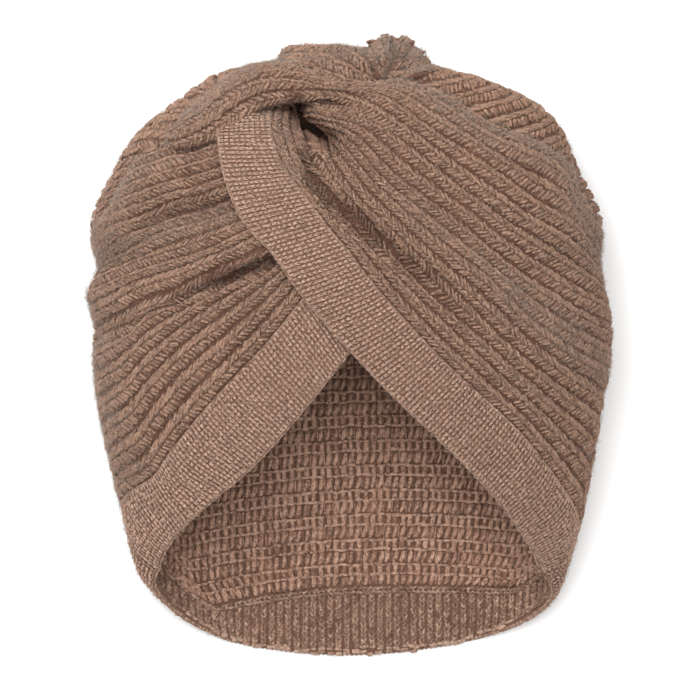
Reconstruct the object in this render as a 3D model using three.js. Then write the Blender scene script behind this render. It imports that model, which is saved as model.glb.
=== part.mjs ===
// Knitted turban bonnet for a baby, lying on its back with the face opening upward.
// Millimetres, +Z up, +Y towards the crown; the origin is under the middle of the resting back.
import * as THREE from "three";

// Driving sizes
const KNIT_WALL = 2.6;      // thickness of the ribbed knit, crest of a rib to the inside
const BAND_WALL = 2.2;      // thickness of the doubled edge band
const RIB_RISE = 1.3;       // height of a rib above the valley beside it
const INNER_RISE = 0.7;     // height of the ridges on the inside of the back
const REST_FLAT = 1.6;      // how far the soft back is pressed flat where it lies
const JOIN_GAP = 0.35;      // clearance left between neighbouring pieces
const SIDE_TURN = 96;       // degrees round from the front where wraps meet the back
const SEAM_CLEAR = 0.0012;  // share of a sheet's length kept clear at that seam
const FRONT_SHAPE = 2.25;   // superellipse exponent of the front half of a section
const BACK_SHAPE = 3.4;     // the same for the flatter back half
const BAND_ROWS = 4;        // the band counts as this many ribs across
const TUCK = 4.4;           // how deep the left wrap dips under the right band
const FOLD_TUCK = 5;        // how deep the left wrap's top dips under the fold over the twist
const CREST_DROP = 3;       // how far the front folds turn down behind their crests
const UNDER = 2.6;          // how much deeper the crown passes under the front folds
const WOOL = 0x957868;      // taupe wool
const WOOL_BAND = 0x9b7e6d; // the smooth band catches a little more light

// Cross-sections of the whole form from nape to crown. left and right are the widest points,
// bottom, side and top the heights of the back, of the widest points and of the front.
const SECTIONS = [
  { y: -113, left: -18, right: 14, bottom: 0, side: 2.5, top: 6 },
  { y: -107, left: -42, right: 38, bottom: 0, side: 6, top: 14 },
  { y: -101, left: -54, right: 55, bottom: 0, side: 10, top: 23 },
  { y: -92, left: -66, right: 68.5, bottom: 0, side: 15, top: 33 },
  { y: -80, left: -76, right: 75, bottom: 0, side: 22, top: 46 },
  { y: -54, left: -82.5, right: 81.5, bottom: 0, side: 31, top: 66 },
  { y: -19, left: -90, right: 87.5, bottom: 0, side: 36, top: 83 },
  { y: 5, left: -91.5, right: 90.5, bottom: 0, side: 38, top: 91 },
  { y: 31, left: -88.5, right: 86.5, bottom: 0, side: 39, top: 96 },
  { y: 41, left: -93, right: 88, bottom: 0, side: 40, top: 96 },
  { y: 63, left: -84, right: 79, bottom: 0, side: 41, top: 93 },
  { y: 76, left: -75, right: 73, bottom: 1, side: 42, top: 88 },
  { y: 86, left: -62.5, right: 62.5, bottom: 5, side: 43, top: 81 },
  { y: 94, left: -51.5, right: 44, bottom: 12, side: 44, top: 74 },
  { y: 98, left: -40, right: 29, bottom: 18, side: 45, top: 69 },
  { y: 100, left: -28.5, right: 26.7, bottom: 22, side: 45, top: 66 },
  { y: 104, left: -23.5, right: 23.2, bottom: 32, side: 45, top: 58 },
  { y: 105.3, left: -17, right: 21.5, bottom: 36, side: 45, top: 55 },
  { y: 106.4, left: 4, right: 20.5, bottom: 40, side: 46, top: 52 },
  { y: 109.2, left: 10, right: 18.8, bottom: 43, side: 46, top: 49 },
];

// Ribs of the left wrap, from the free edge of its band to the fold over the twist.
// side is the level where the rib meets the side seam, path follows it over the front.
const LEFT_RIBS = [
  { rib: -4, side: null, path: [[-69, -79], [-62, -66], [-49, -54], [-34, -41], [-17, -22], [-1, -2]] },
  { rib: 0, side: -57, path: [[-74, -48], [-66, -39], [-53, -23], [-34, -3], [-15, 20]] },
  { rib: 3, side: -30, path: [[-82, -22], [-72, -11], [-58, 2], [-41, 14], [-22, 29]] },
  { rib: 6, side: -2, path: [[-85, 3], [-73, 12], [-59, 18], [-45, 26], [-27, 35]] },
  { rib: 9, side: 17, path: [[-85, 22], [-75, 27], [-62, 31], [-48, 36], [-32, 43]] },
  { rib: 12, side: 28, path: [[-85, 35], [-75, 41], [-64, 46], [-52, 49], [-38, 54]] },
  { rib: 15, side: null, path: [[-83, 48], [-78, 52], [-72, 55], [-65, 58], [-57, 60], [-45, 63.5]] },
  { rib: 18, side: null, path: [[-75, 64], [-71, 67], [-66, 70], [-60, 73], [-55, 74], [-48, 76]] },
];

// Ribs of the fold that comes off the left shoulder and crosses over the twist.
// lift is the height of the rolled fold above the form.
const FOLD_RIBS = [
  { rib: 0, lift: -2.5,
    path: [[-67, 70], [-57, 73], [-47, 76], [-36, 80.5], [-25, 84], [-10, 88.6], [16, 90.4]] },
  { rib: 1, lift: 2,
    path: [[-68, 71], [-60, 76], [-50, 80], [-38, 84], [-24, 86.5], [-9, 89.8], [17, 91]] },
  { rib: 2, lift: 5,
    path: [[-66, 74], [-57, 80], [-47, 85], [-36, 88.5], [-23, 90], [-8, 91.4], [18, 91.6]] },
  { rib: 3, lift: 5,
    path: [[-63, 77], [-54, 84], [-44, 90], [-34, 93.5], [-22, 94], [-6, 93.5], [18, 92.4]] },
  { rib: 4, lift: 2.5,
    path: [[-60, 80], [-52, 87], [-42, 93], [-32, 96], [-20, 96.5], [-4, 95.5], [19, 93.2]] },
  { rib: 5, lift: -0.7,
    path: [[-58, 83], [-50, 89.5], [-40, 95.5], [-31, 98], [-20, 98.3], [-3, 97], [20, 94]] },
];

// Ribs of the right wrap, fanning from the twist to the right side.
const RIGHT_RIBS = [
  { rib: -4, side: null,
    path: [[-44, 82], [-47, 66], [-37, 41], [-13, 11], [14, -18], [40, -43], [59, -66], [66, -80]] },
  { rib: 0, side: -68, path: [[-24, 81], [-26, 66], [-13, 47], [8, 20], [30, -4], [54, -26], [74, -50]] },
  { rib: 2, side: -46, path: [[-20, 80], [-18, 66], [-5, 49], [14, 26], [35, 5], [57, -15], [77, -33]] },
  { rib: 4, side: -27, path: [[-18, 80], [-11, 67], [3, 50], [21, 32], [40, 14], [60, -4], [79, -18]] },
  { rib: 6, side: -10, path: [[-16, 82], [-6, 69], [10, 54], [28, 38], [46, 24], [64, 8], [81, -3]] },
  { rib: 8, side: 6, path: [[-15, 83], [-2, 73], [16, 59], [34, 46], [50, 33], [67, 21], [83, 12]] },
  { rib: 10, side: 18, path: [[-14, 84], [2, 78], [21, 68], [39, 54], [55, 43], [71, 34], [83, 26]] },
  { rib: 12, side: 25, path: [[-14, 84.5], [5, 82], [26, 75], [44, 64], [59, 54], [73, 47], [83, 37]] },
  { rib: 14, side: 27, path: [[-14, 85], [7, 87], [29, 84], [45, 74], [59, 69], [71, 62], [81, 47]] },
  { rib: 15, side: 29, path: [[-14, 86], [8, 88.5], [31, 87], [47, 77], [61, 72], [74, 64], [83.5, 49]] },
];

// Rings of the back from the nape's free edge to the drawn-in crown. The ends lie at the side
// seam below the front folds and pass under those folds above it.
const BACK_RINGS = [
  { rib: -4, leftEnd: [-69, -79], leftSide: -98, middle: -109, rightSide: -97, rightEnd: [66, -80] },
  { rib: 0, leftEnd: null, leftSide: -57, middle: -89, rightSide: -68, rightEnd: null },
  { rib: 3, leftEnd: null, leftSide: -30, middle: -62, rightSide: -36.5, rightEnd: null },
  { rib: 6, leftEnd: null, leftSide: -2, middle: -36, rightSide: -10, rightEnd: null },
  { rib: 9, leftEnd: null, leftSide: 17, middle: -9, rightSide: 12.5, rightEnd: null },
  { rib: 12, leftEnd: null, leftSide: 28, middle: 17, rightSide: 25, rightEnd: null },
  { rib: 13, leftEnd: null, leftSide: 32, middle: 26, rightSide: 29, rightEnd: null },
  { rib: 14.5, leftEnd: [-79, 46], leftSide: 39, middle: 38, rightSide: 38, rightEnd: [80, 40] },
  { rib: 16, leftEnd: [-70, 58], leftSide: 47, middle: 50, rightSide: 50, rightEnd: [70, 51] },
  { rib: 19, leftEnd: [-65, 72], leftSide: 66, middle: 72, rightSide: 69, rightEnd: [56, 62] },
  { rib: 21, leftEnd: [-41, 90], leftSide: 84, middle: 87, rightSide: 85, rightEnd: [36, 76] },
  { rib: 22.5, leftEnd: [-5, 92], leftSide: 94, middle: 96, rightSide: 93, rightEnd: [10, 86] },
  { rib: 24, leftEnd: [0, 98], leftSide: 100, middle: 102, rightSide: 99, rightEnd: [3, 97] },
  { rib: 25, leftEnd: [2.6, 102.6], leftSide: 103.5, middle: 105.5, rightSide: 103.5, rightEnd: [4, 102.4] },
  { rib: 26, leftEnd: [13, 108.6], leftSide: 108.6, middle: 109, rightSide: 108.6, rightEnd: [14.5, 108.6] },
];

// Folds pressed into or raised on the pieces: the line they follow, their height and half width.
const LEFT_FOLDS = [
  { name: "deep crease", line: [[-90, 3], [-73, 13], [-50, 23], [-30, 33]], rise: -4.5, width: 4.5 },
  { name: "roll above it", line: [[-72, 24], [-54, 28], [-35, 38]], rise: 2.6, width: 6 },
  { name: "soft valley", line: [[-84, 40], [-70, 45], [-45, 51]], rise: -2, width: 5 },
  { name: "valley by the twist", line: [[-68, 69], [-60, 70], [-54, 72]], rise: -2.2, width: 4 },
  { name: "shoulder crest", line: [[-86, 34], [-79, 56], [-68, 71]], rise: 2.6, width: 7 },
];
const RIGHT_FOLDS = [
  { name: "valley by the band", line: [[-18, 70], [-12, 57], [-2, 40]], rise: -3, width: 5 },
  { name: "fan valley", line: [[-7, 70], [27, 37], [58, 6]], rise: -2, width: 6 },
  { name: "fan swell", line: [[6, 80], [30, 72], [52, 56]], rise: 3.4, width: 10 },
  { name: "shoulder crest", line: [[16, 90], [44, 74], [59, 69], [72, 60]], rise: 2.4, width: 7 },
];
const TWIST_PIT = [
  { name: "hole at the twist", line: [[-42, 84], [-24, 83], [-13, 76]], rise: -9, width: 7 },
];
const BACK_FOLDS = [
  { name: "under the left folds",
    line: [[-92, 32], [-84, 46], [-72, 66], [-46, 91], [-8, 94]], rise: -6, width: 7 },
  { name: "under the right folds",
    line: [[90, 31], [80, 49], [70, 63], [45, 75], [10, 89]], rise: -6, width: 7 },
  { name: "left crown bump", line: [[-22, 103], [-4, 103]], rise: 3, width: 5 },
  { name: "right crown bump", line: [[8, 103], [26, 99]], rise: 5, width: 7 },
  { name: "dimple", line: [[12, 95], [15, 95]], rise: -4, width: 4 },
];

// Value at t of a smooth curve through the given values, with slopes taken from the neighbours.
function curveAt(knots, values, t) {
  const last = knots.length - 1;
  let i = 0;
  while (i < last - 1 && t > knots[i + 1]) i += 1;
  const secant = (k) => (values[k + 1] - values[k]) / (knots[k + 1] - knots[k]);
  const slope = (k) => {
    if (k === 0) return secant(0);
    if (k === last) return secant(last - 1);
    const [before, after] = [secant(k - 1), secant(k)];
    if (before * after <= 0) return 0;
    const mean = (values[k + 1] - values[k - 1]) / (knots[k + 1] - knots[k - 1]);
    return Math.sign(mean) * Math.min(Math.abs(mean), 3 * Math.abs(before), 3 * Math.abs(after));
  };
  const step = knots[i + 1] - knots[i];
  const s = (t - knots[i]) / step;
  const s2 = s * s;
  const s3 = s2 * s;
  return (2 * s3 - 3 * s2 + 1) * values[i] + (s3 - 2 * s2 + s) * step * slope(i)
    + (3 * s2 - 2 * s3) * values[i + 1] + (s3 - s2) * step * slope(i + 1);
}

const levels = SECTIONS.map((row) => row.y);
const columns = {};
for (const key of ["left", "right", "bottom", "side", "top"]) {
  columns[key] = SECTIONS.map((row) => row[key]);
}

// One cross-section of the form at a level.
function sectionAt(y) {
  const at = (key) => curveAt(levels, columns[key], y);
  const left = at("left");
  const right = at("right");
  return {
    centre: (left + right) / 2,
    half: Math.max((right - left) / 2, 2),
    bottom: Math.max(at("bottom"), 0),
    side: at("side"),
    top: at("top"),
  };
}

// Point of the form: turn is in degrees round the section, 0 at the front, -90 at the left.
function formPoint(turn, y) {
  const section = sectionAt(y);
  const angle = THREE.MathUtils.degToRad(turn);
  const across = Math.sin(angle);
  const up = Math.cos(angle);
  const power = up >= 0 ? FRONT_SHAPE : BACK_SHAPE;
  const reach = (Math.abs(across) ** power + Math.abs(up) ** power) ** (-1 / power);
  const x = section.centre + section.half * reach * across;
  if (up >= 0) {
    return new THREE.Vector3(x, y, section.side + (section.top - section.side) * reach * up);
  }
  const depth = section.side - section.bottom;
  const lift = Math.max(depth * (1 + reach * up) - REST_FLAT, 0);
  return new THREE.Vector3(x, y, section.bottom + lift * depth / Math.max(depth - REST_FLAT, 0.5));
}

// Turn of the point of the front that lies over x at a level.
function turnOf([x, y]) {
  const section = sectionAt(y);
  const share = THREE.MathUtils.clamp((x - section.centre) / section.half, -0.995, 0.995);
  const rise = (1 - Math.abs(share) ** FRONT_SHAPE) ** (1 / FRONT_SHAPE);
  return THREE.MathUtils.radToDeg(Math.atan2(share, rise));
}

// Height that the folds add at a point seen from the front.
function foldRise(folds, point) {
  let rise = 0;
  const here = new THREE.Vector2(point.x, point.y);
  for (const fold of folds) {
    let near = Infinity;
    for (let i = 0; i + 1 < fold.line.length; i += 1) {
      const a = new THREE.Vector2(...fold.line[i]);
      const b = new THREE.Vector2(...fold.line[i + 1]);
      const along = b.clone().sub(a);
      const t = THREE.MathUtils.clamp(here.clone().sub(a).dot(along) / along.lengthSq(), 0, 1);
      near = Math.min(near, here.distanceTo(a.addScaledVector(along, t)));
    }
    rise += fold.rise * Math.exp(-((near / fold.width) ** 2));
  }
  return rise;
}

// Outward direction of the smooth form at a turn and level.
function formNormal(turn, y) {
  const round = formPoint(turn + 0.5, y).sub(formPoint(turn - 0.5, y));
  const rise = formPoint(turn, y + 0.5).sub(formPoint(turn, y - 0.5));
  return round.cross(rise).normalize();
}

// Turn and level of each station of a front rib; seamAt is the turn of its side seam.
function ribStations(row, seamAt) {
  const stations = row.path.map((spot) => [turnOf(spot), spot[1]]);
  if (row.side === null) return stations;
  const end = [seamAt, row.side];
  return seamAt < 0 ? [end, ...stations] : [...stations, end];
}

// A front sheet: a function that gives the outer point at u along and v ribs up from the join.
function frontSheet(rows, seamAt, folds, lift) {
  const ribs = rows.map((row) => row.rib);
  const stations = rows.map((row) => ribStations(row, seamAt));
  const count = stations[0].length;
  const order = stations[0].map((_, i) => i / (count - 1));
  return (u, v) => {
    const spots = order.map((_, i) => [0, 1].map((k) => curveAt(ribs, stations.map((s) => s[i][k]), v)));
    const [turn, y] = [0, 1].map((k) => curveAt(order, spots.map((spot) => spot[k]), u));
    const point = formPoint(turn, y);
    const down = lift(u, v, point);
    const facing = Math.abs(turn) < 90 ? 1 : 0.4;
    point.addScaledVector(formNormal(turn, y), foldRise(folds, point) * facing);
    point.z += down;
    return point;
  };
}

// The back sheet: u runs from the left end round the back to the right end.
function backSheet(rings, folds) {
  const ribs = rings.map((ring) => ring.rib);
  const ends = rings.map((ring) => {
    const leftTurn = ring.leftEnd ? turnOf(ring.leftEnd) : -SIDE_TURN;
    const rightTurn = (ring.rightEnd ? turnOf(ring.rightEnd) : SIDE_TURN) - 360;
    const leftLevel = ring.leftEnd ? ring.leftEnd[1] : ring.leftSide;
    const rightLevel = ring.rightEnd ? ring.rightEnd[1] : ring.rightSide;
    return [leftTurn, leftLevel, ring.leftSide, ring.middle, ring.rightSide, rightLevel, rightTurn];
  });
  return (u, v) => {
    const at = [0, 1, 2, 3, 4, 5, 6].map((k) => curveAt(ribs, ends.map((end) => end[k]), v));
    const [leftTurn, leftLevel, leftSide, middle, rightSide, rightLevel, rightTurn] = at;
    const turn = leftTurn + (rightTurn - leftTurn) * u;
    const turns = [leftTurn + 0.01, -100, -145, -180, -215, -260, rightTurn - 0.01].map((t) => -t);
    const near = [leftLevel, leftSide, middle + (leftSide - middle) * 0.16, middle];
    const far = [middle + (rightSide - middle) * 0.16, rightSide, rightLevel];
    const y = curveAt(turns, [...near, ...far], -turn);
    const point = formPoint(turn, y);
    const overLeft = THREE.MathUtils.clamp((turn + 90) / Math.max(leftTurn + 90, 1), 0, 1);
    const overRight = THREE.MathUtils.clamp((turn + 270) / Math.min(rightTurn + 270, -1), 0, 1);
    const over = v > 15 ? Math.max(overLeft, overRight) : 0;
    const crown = THREE.MathUtils.smoothstep(v, 22.8, 24.3);
    const sink = -UNDER * THREE.MathUtils.smoothstep(over, 0.4, 1) * (1 - crown);
    const facing = THREE.MathUtils.smoothstep(Math.abs(turn + 180), 78, 90) * (v > 0 ? 1 : 0);
    return point.addScaledVector(formNormal(turn, y), sink + foldRise(folds, point) * facing);
  };
}

// Height of the knit below a rib's crest at v, 0 at the crest and 1 in the valley.
function valleyAt(v) {
  return Math.abs(Math.cos(v * Math.PI));
}

// Closed wall cut from a sheet. side is 1 where u turned to v points outward, else -1.
function knitWall({ name, sheet, colour, side, wall, u, v, columns: across, rows, outer, inner }) {
  const positions = [];
  const faces = [];
  const stride = rows + 1;
  const layer = (across + 1) * stride;
  const blend = (range, t) => range[0] + (range[1] - range[0]) * t;
  const spots = [];
  for (let i = 0; i <= across; i += 1) {
    for (let j = 0; j <= rows; j += 1) {
      const uHere = blend(u, i / across);
      const pitch = sheet(uHere, 0.1).distanceTo(sheet(uHere, -0.1)) / 0.2;
      const clearance = Math.min(JOIN_GAP / 2 / pitch, 0.3);
      const vHere = v[0] < 0 ? blend([v[0], -clearance], j / rows) : blend([clearance, v[1]], j / rows);
      const point = sheet(uHere, vHere);
      const along = sheet(uHere + 0.004, vHere).sub(sheet(uHere - 0.004, vHere));
      const rise = sheet(uHere, vHere + 0.05).sub(sheet(uHere, vHere - 0.05));
      const normal = along.cross(rise).normalize().multiplyScalar(side);
      spots.push({ point, normal, v: vHere });
    }
  }
  for (const { point, normal, v: vHere } of spots) {
    const pressed = THREE.MathUtils.smoothstep(point.z, 0.05, 5);
    const spot = point.clone().addScaledVector(normal, -outer * valleyAt(vHere) * pressed);
    positions.push(spot.x, spot.y, Math.max(spot.z, 0));
  }
  for (const { point, normal, v: vHere } of spots) {
    const spot = point.clone().addScaledVector(normal, -wall + inner * valleyAt(vHere));
    positions.push(spot.x, spot.y, spot.z);
  }
  const quad = (a, b, c, d) => {
    if (side > 0) faces.push(a, b, c, a, c, d);
    else faces.push(a, c, b, a, d, c);
  };
  for (let i = 0; i < across; i += 1) {
    for (let j = 0; j < rows; j += 1) {
      const a = i * stride + j;
      const b = a + stride;
      quad(a, b, b + 1, a + 1);
      quad(layer + a, layer + a + 1, layer + b + 1, layer + b);
    }
    const low = i * stride;
    const high = low + rows;
    quad(low, layer + low, layer + low + stride, low + stride);
    quad(high, high + stride, layer + high + stride, layer + high);
  }
  for (let j = 0; j < rows; j += 1) {
    const start = j;
    const end = across * stride + j;
    quad(start, start + 1, layer + start + 1, layer + start);
    quad(end, layer + end, layer + end + 1, end + 1);
  }
  const geometry = new THREE.BufferGeometry();
  geometry.setAttribute("position", new THREE.Float32BufferAttribute(positions, 3));
  geometry.setIndex(faces);
  geometry.computeVertexNormals();
  const material = new THREE.MeshStandardMaterial({ color: colour, roughness: 0.95, metalness: 0 });
  const mesh = new THREE.Mesh(geometry, material);
  mesh.name = name;
  return mesh;
}

// The left wrap dips under the right band at its inner end; the fold over the twist stays on top.
function leftLift(u, v) {
  const inner = THREE.MathUtils.smoothstep(u, 0.7, 0.87);
  const below = 1 - THREE.MathUtils.smoothstep(v, 15.3, 17);
  const turned = (1 - THREE.MathUtils.smoothstep(u, 0, 0.07)) * THREE.MathUtils.smoothstep(v, 12.5, 14.5);
  return -TUCK * inner * below - CREST_DROP * turned - FOLD_TUCK * THREE.MathUtils.smoothstep(v, 15.6, 17.2);
}

// The fold over the twist rises to its middle ribs and sinks at both of its ends.
function foldLift(u, v) {
  const heights = FOLD_RIBS.map((row) => row.lift);
  const roll = curveAt(FOLD_RIBS.map((row) => row.rib), heights, v);
  const start = 1 - THREE.MathUtils.smoothstep(u, 0, 0.16);
  const tip = THREE.MathUtils.smoothstep(u, 0.72, 1);
  return roll * (1 - 0.7 * start - 0.8 * tip) - 1.2 * start + 1.6 * tip;
}

// The right wrap starts deep in the twist and rises out of it.
function rightLift(u, v, point) {
  const start = 1 - THREE.MathUtils.smoothstep(u, 0, 0.2);
  const band = 1 - THREE.MathUtils.smoothstep(v, 0, 4);
  const top = 1 - THREE.MathUtils.smoothstep(u, 0.78, 0.97);
  const turned = -CREST_DROP * THREE.MathUtils.smoothstep(v, 13.4, 15) * top;
  return -(2.4 + 1.6 * band) * start + foldRise(TWIST_PIT, point) + turned;
}

const left = frontSheet(LEFT_RIBS, -SIDE_TURN, LEFT_FOLDS, leftLift);
const fold = frontSheet(FOLD_RIBS.map((row) => ({ ...row, side: null })), 0, [], foldLift);
const right = frontSheet(RIGHT_RIBS, SIDE_TURN, RIGHT_FOLDS, rightLift);
const back = backSheet(BACK_RINGS, BACK_FOLDS);

const bothSeams = [SEAM_CLEAR, 1 - SEAM_CLEAR];
const leftSeam = [SEAM_CLEAR, 1];
const rightSeam = [0, 1 - SEAM_CLEAR];
const PIECES = [
  { name: "back_crown", sheet: back, colour: WOOL, side: -1, wall: KNIT_WALL, u: bothSeams,
    v: [0, 26], columns: 24, rows: 52, outer: RIB_RISE, inner: INNER_RISE },
  { name: "nape_band", sheet: back, colour: WOOL_BAND, side: -1, wall: BAND_WALL, u: bothSeams,
    v: [-BAND_ROWS, 0], columns: 24, rows: 4, outer: 0, inner: 0 },
  { name: "left_wrap", sheet: left, colour: WOOL, side: 1, wall: KNIT_WALL, u: leftSeam,
    v: [0, 18], columns: 14, rows: 36, outer: RIB_RISE, inner: 0 },
  { name: "left_band", sheet: left, colour: WOOL_BAND, side: 1, wall: BAND_WALL, u: leftSeam,
    v: [-BAND_ROWS, 0], columns: 14, rows: 4, outer: 0, inner: 0 },
  { name: "twist_fold", sheet: fold, colour: WOOL, side: 1, wall: KNIT_WALL, u: [0, 1],
    v: [0, 5], columns: 16, rows: 10, outer: RIB_RISE, inner: 0 },
  { name: "right_wrap", sheet: right, colour: WOOL, side: 1, wall: KNIT_WALL, u: rightSeam,
    v: [0, 15], columns: 19, rows: 30, outer: RIB_RISE, inner: 0 },
  { name: "right_band", sheet: right, colour: WOOL_BAND, side: 1, wall: BAND_WALL, u: rightSeam,
    v: [-BAND_ROWS, 0], columns: 19, rows: 4, outer: 0, inner: 0 },
];

const bonnet = new THREE.Group();
bonnet.name = "bonnet";
for (const piece of PIECES) bonnet.add(knitWall(piece));

// Puts the origin under the middle of the finished outline.
const middle = new THREE.Box3().setFromObject(bonnet).getCenter(new THREE.Vector3());
for (const piece of bonnet.children) piece.geometry.translate(-middle.x, -middle.y, 0);

export default bonnet;
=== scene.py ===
"""Knitted turban bonnet for a baby: wool stitches laid over the shared frame."""
import logging
import math
from dataclasses import dataclass, field, replace
from enum import Enum
from typing import Callable, Optional, Sequence

import bpy
import numpy as np
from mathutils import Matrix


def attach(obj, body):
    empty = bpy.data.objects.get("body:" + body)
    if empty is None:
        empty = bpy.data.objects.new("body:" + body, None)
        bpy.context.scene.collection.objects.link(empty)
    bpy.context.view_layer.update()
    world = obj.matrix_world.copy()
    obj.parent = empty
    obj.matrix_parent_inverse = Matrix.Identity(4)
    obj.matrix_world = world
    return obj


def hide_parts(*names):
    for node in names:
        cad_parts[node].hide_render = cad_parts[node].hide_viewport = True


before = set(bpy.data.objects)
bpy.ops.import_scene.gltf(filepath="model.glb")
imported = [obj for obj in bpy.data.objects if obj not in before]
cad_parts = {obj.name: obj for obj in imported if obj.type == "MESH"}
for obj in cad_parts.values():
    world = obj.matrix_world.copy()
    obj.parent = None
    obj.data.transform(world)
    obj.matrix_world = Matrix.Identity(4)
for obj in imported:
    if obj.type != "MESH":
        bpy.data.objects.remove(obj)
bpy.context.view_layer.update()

LOG = logging.getLogger("bonnet")
MM = 0.001
Array = np.ndarray
Spot = tuple[float, float]
Pair = tuple[float, float]
Colour = tuple[float, float, float, float]

# Turns of the bonnet's two sides in degrees, counted round its back.
LEFT_SIDE, RIGHT_SIDE = -90.0, -270.0
# Turns at which a ring of the back has a level, and how far it bows between the sides and the middle.
RING_TURNS, RING_BOW = (-100, -145, -180, -215, -260), 0.16
# Heights over the table in mm: clear of it, and the range in which it presses the ribs flat.
TABLE_CLEAR, PRESSED = 4.0, (0.05, 5.0)
# Relief of the ribs on a steep side and what a level place adds, with the range of tilt between them.
SIDE_RELIEF, SIDE_TILT = (0.42, 0.58), (0.1, 0.62)
# Largest share of the stitches' depth that wear takes away.
MOST_WORN = 0.8
# Painted shade: drop of the wool's tone for each mm that a pit or crease goes down.
PAINTED_PIT_SHADE = 0.5
# Steps in which a row is measured.
SAMPLES = 400


class RunsAlong(Enum):
    """Direction of a column of stitches on a sheet: along its ribs or across them."""

    RIB = "u"
    ACROSS = "v"


def smoothstep(x: Array, low: float, high: float) -> Array:
    """Smooth step from 0 at low to 1 at high."""
    t = np.clip((np.asarray(x, float) - low) / (high - low), 0.0, 1.0)
    return t * t * (3.0 - 2.0 * t)


def unit(vectors: Array) -> Array:
    """Vectors scaled to length one."""
    return vectors / np.maximum(np.linalg.norm(vectors, axis=-1, keepdims=True), 1e-12)


def arc_length(line: Array) -> Array:
    """Length along a line up to each of its points."""
    return np.concatenate([[0], np.cumsum(np.linalg.norm(np.diff(line, axis=0), axis=1))])


def places_at(at: Array, length: Array, places: Array) -> Array:
    """Places at lengths along a line, carried on past its two ends."""
    whole, span = max(length[-1], 1e-6), places[-1] - places[0]
    over = at - length[-1]
    run = np.where(at < 0, places[0] + at / whole * span, np.interp(at, length, places))
    return np.where(over > 0, places[-1] + over / whole * span, run)


def smooth_curve(knots: Array, values: Array, at: Array) -> Array:
    """Value of a smooth curve that never overshoots its table.

    Args:
        knots: Increasing positions, one row or one row for each point.
        values: Table values, one row or one row for each point.
        at: Positions to read.

    Returns:
        One value for each position.
    """
    at = np.asarray(at, float).ravel()
    count = np.shape(knots)[-1]
    x = np.broadcast_to(np.asarray(knots, float), (at.size, count))
    y = np.broadcast_to(np.asarray(values, float), (at.size, count))
    secant = np.diff(y, axis=1) / np.diff(x, axis=1)
    before, after = secant[:, :-1], secant[:, 1:]
    mean = (y[:, 2:] - y[:, :-2]) / (x[:, 2:] - x[:, :-2])
    limit = np.minimum(np.abs(mean), 3.0 * np.minimum(np.abs(before), np.abs(after)))
    inner = np.where(before * after <= 0.0, 0.0, np.sign(mean) * limit)
    slope = np.concatenate([secant[:, :1], inner, secant[:, -1:]], axis=1)
    i = np.clip((x[:, 1:-1] < at[:, None]).sum(axis=1), 0, count - 2)
    row = np.arange(at.size)
    step = x[row, i + 1] - x[row, i]
    s = (at - x[row, i]) / step
    s2, s3 = s * s, s * s * s
    low = (2 * s3 - 3 * s2 + 1) * y[row, i] + (s3 - 2 * s2 + s) * step * slope[row, i]
    high = (3 * s2 - 2 * s3) * y[row, i + 1] + (s3 - s2) * step * slope[row, i + 1]
    return low + high


@dataclass(frozen=True)
class Fold:
    """A soft ridge or crease: its line, height and half width in mm.

    The fade holds the shares of its length over which its two ends die away.
    """

    line: Sequence[Spot]
    rise: float
    width: float
    fade: Pair = (0.0, 0.0)

    def height(self, points: Array) -> Array:
        """Height that the fold adds at points seen from the front."""
        here = points[:, :2]
        near, share = np.full(len(here), np.inf), np.zeros(len(here))
        steps = [np.subtract(b, a).astype(float) for a, b in zip(self.line[:-1], self.line[1:])]
        whole, done = sum(float(np.linalg.norm(step)) for step in steps), 0.0
        for a, along in zip(self.line, steps):
            t = np.clip((here - np.array(a, float)) @ along / (along @ along), 0.0, 1.0)
            gap = np.linalg.norm(here - np.array(a, float) - t[:, None] * along, axis=1)
            size = float(np.linalg.norm(along))
            share = np.where(gap < near, (done + t * size) / max(whole, 1e-9), share)
            near, done = np.minimum(near, gap), done + size
        ends = zip((share, 1 - share), self.fade)
        first, last = (smoothstep(x, 0, part) if part else 1.0 for x, part in ends)
        return self.rise * np.exp(-((near / self.width) ** 2)) * first * last


def folds_height(folds: Sequence[Fold], points: Array) -> Array:
    """Height that all the given folds add at points."""
    return sum((fold.height(points) for fold in folds), np.zeros(len(points)))


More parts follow.
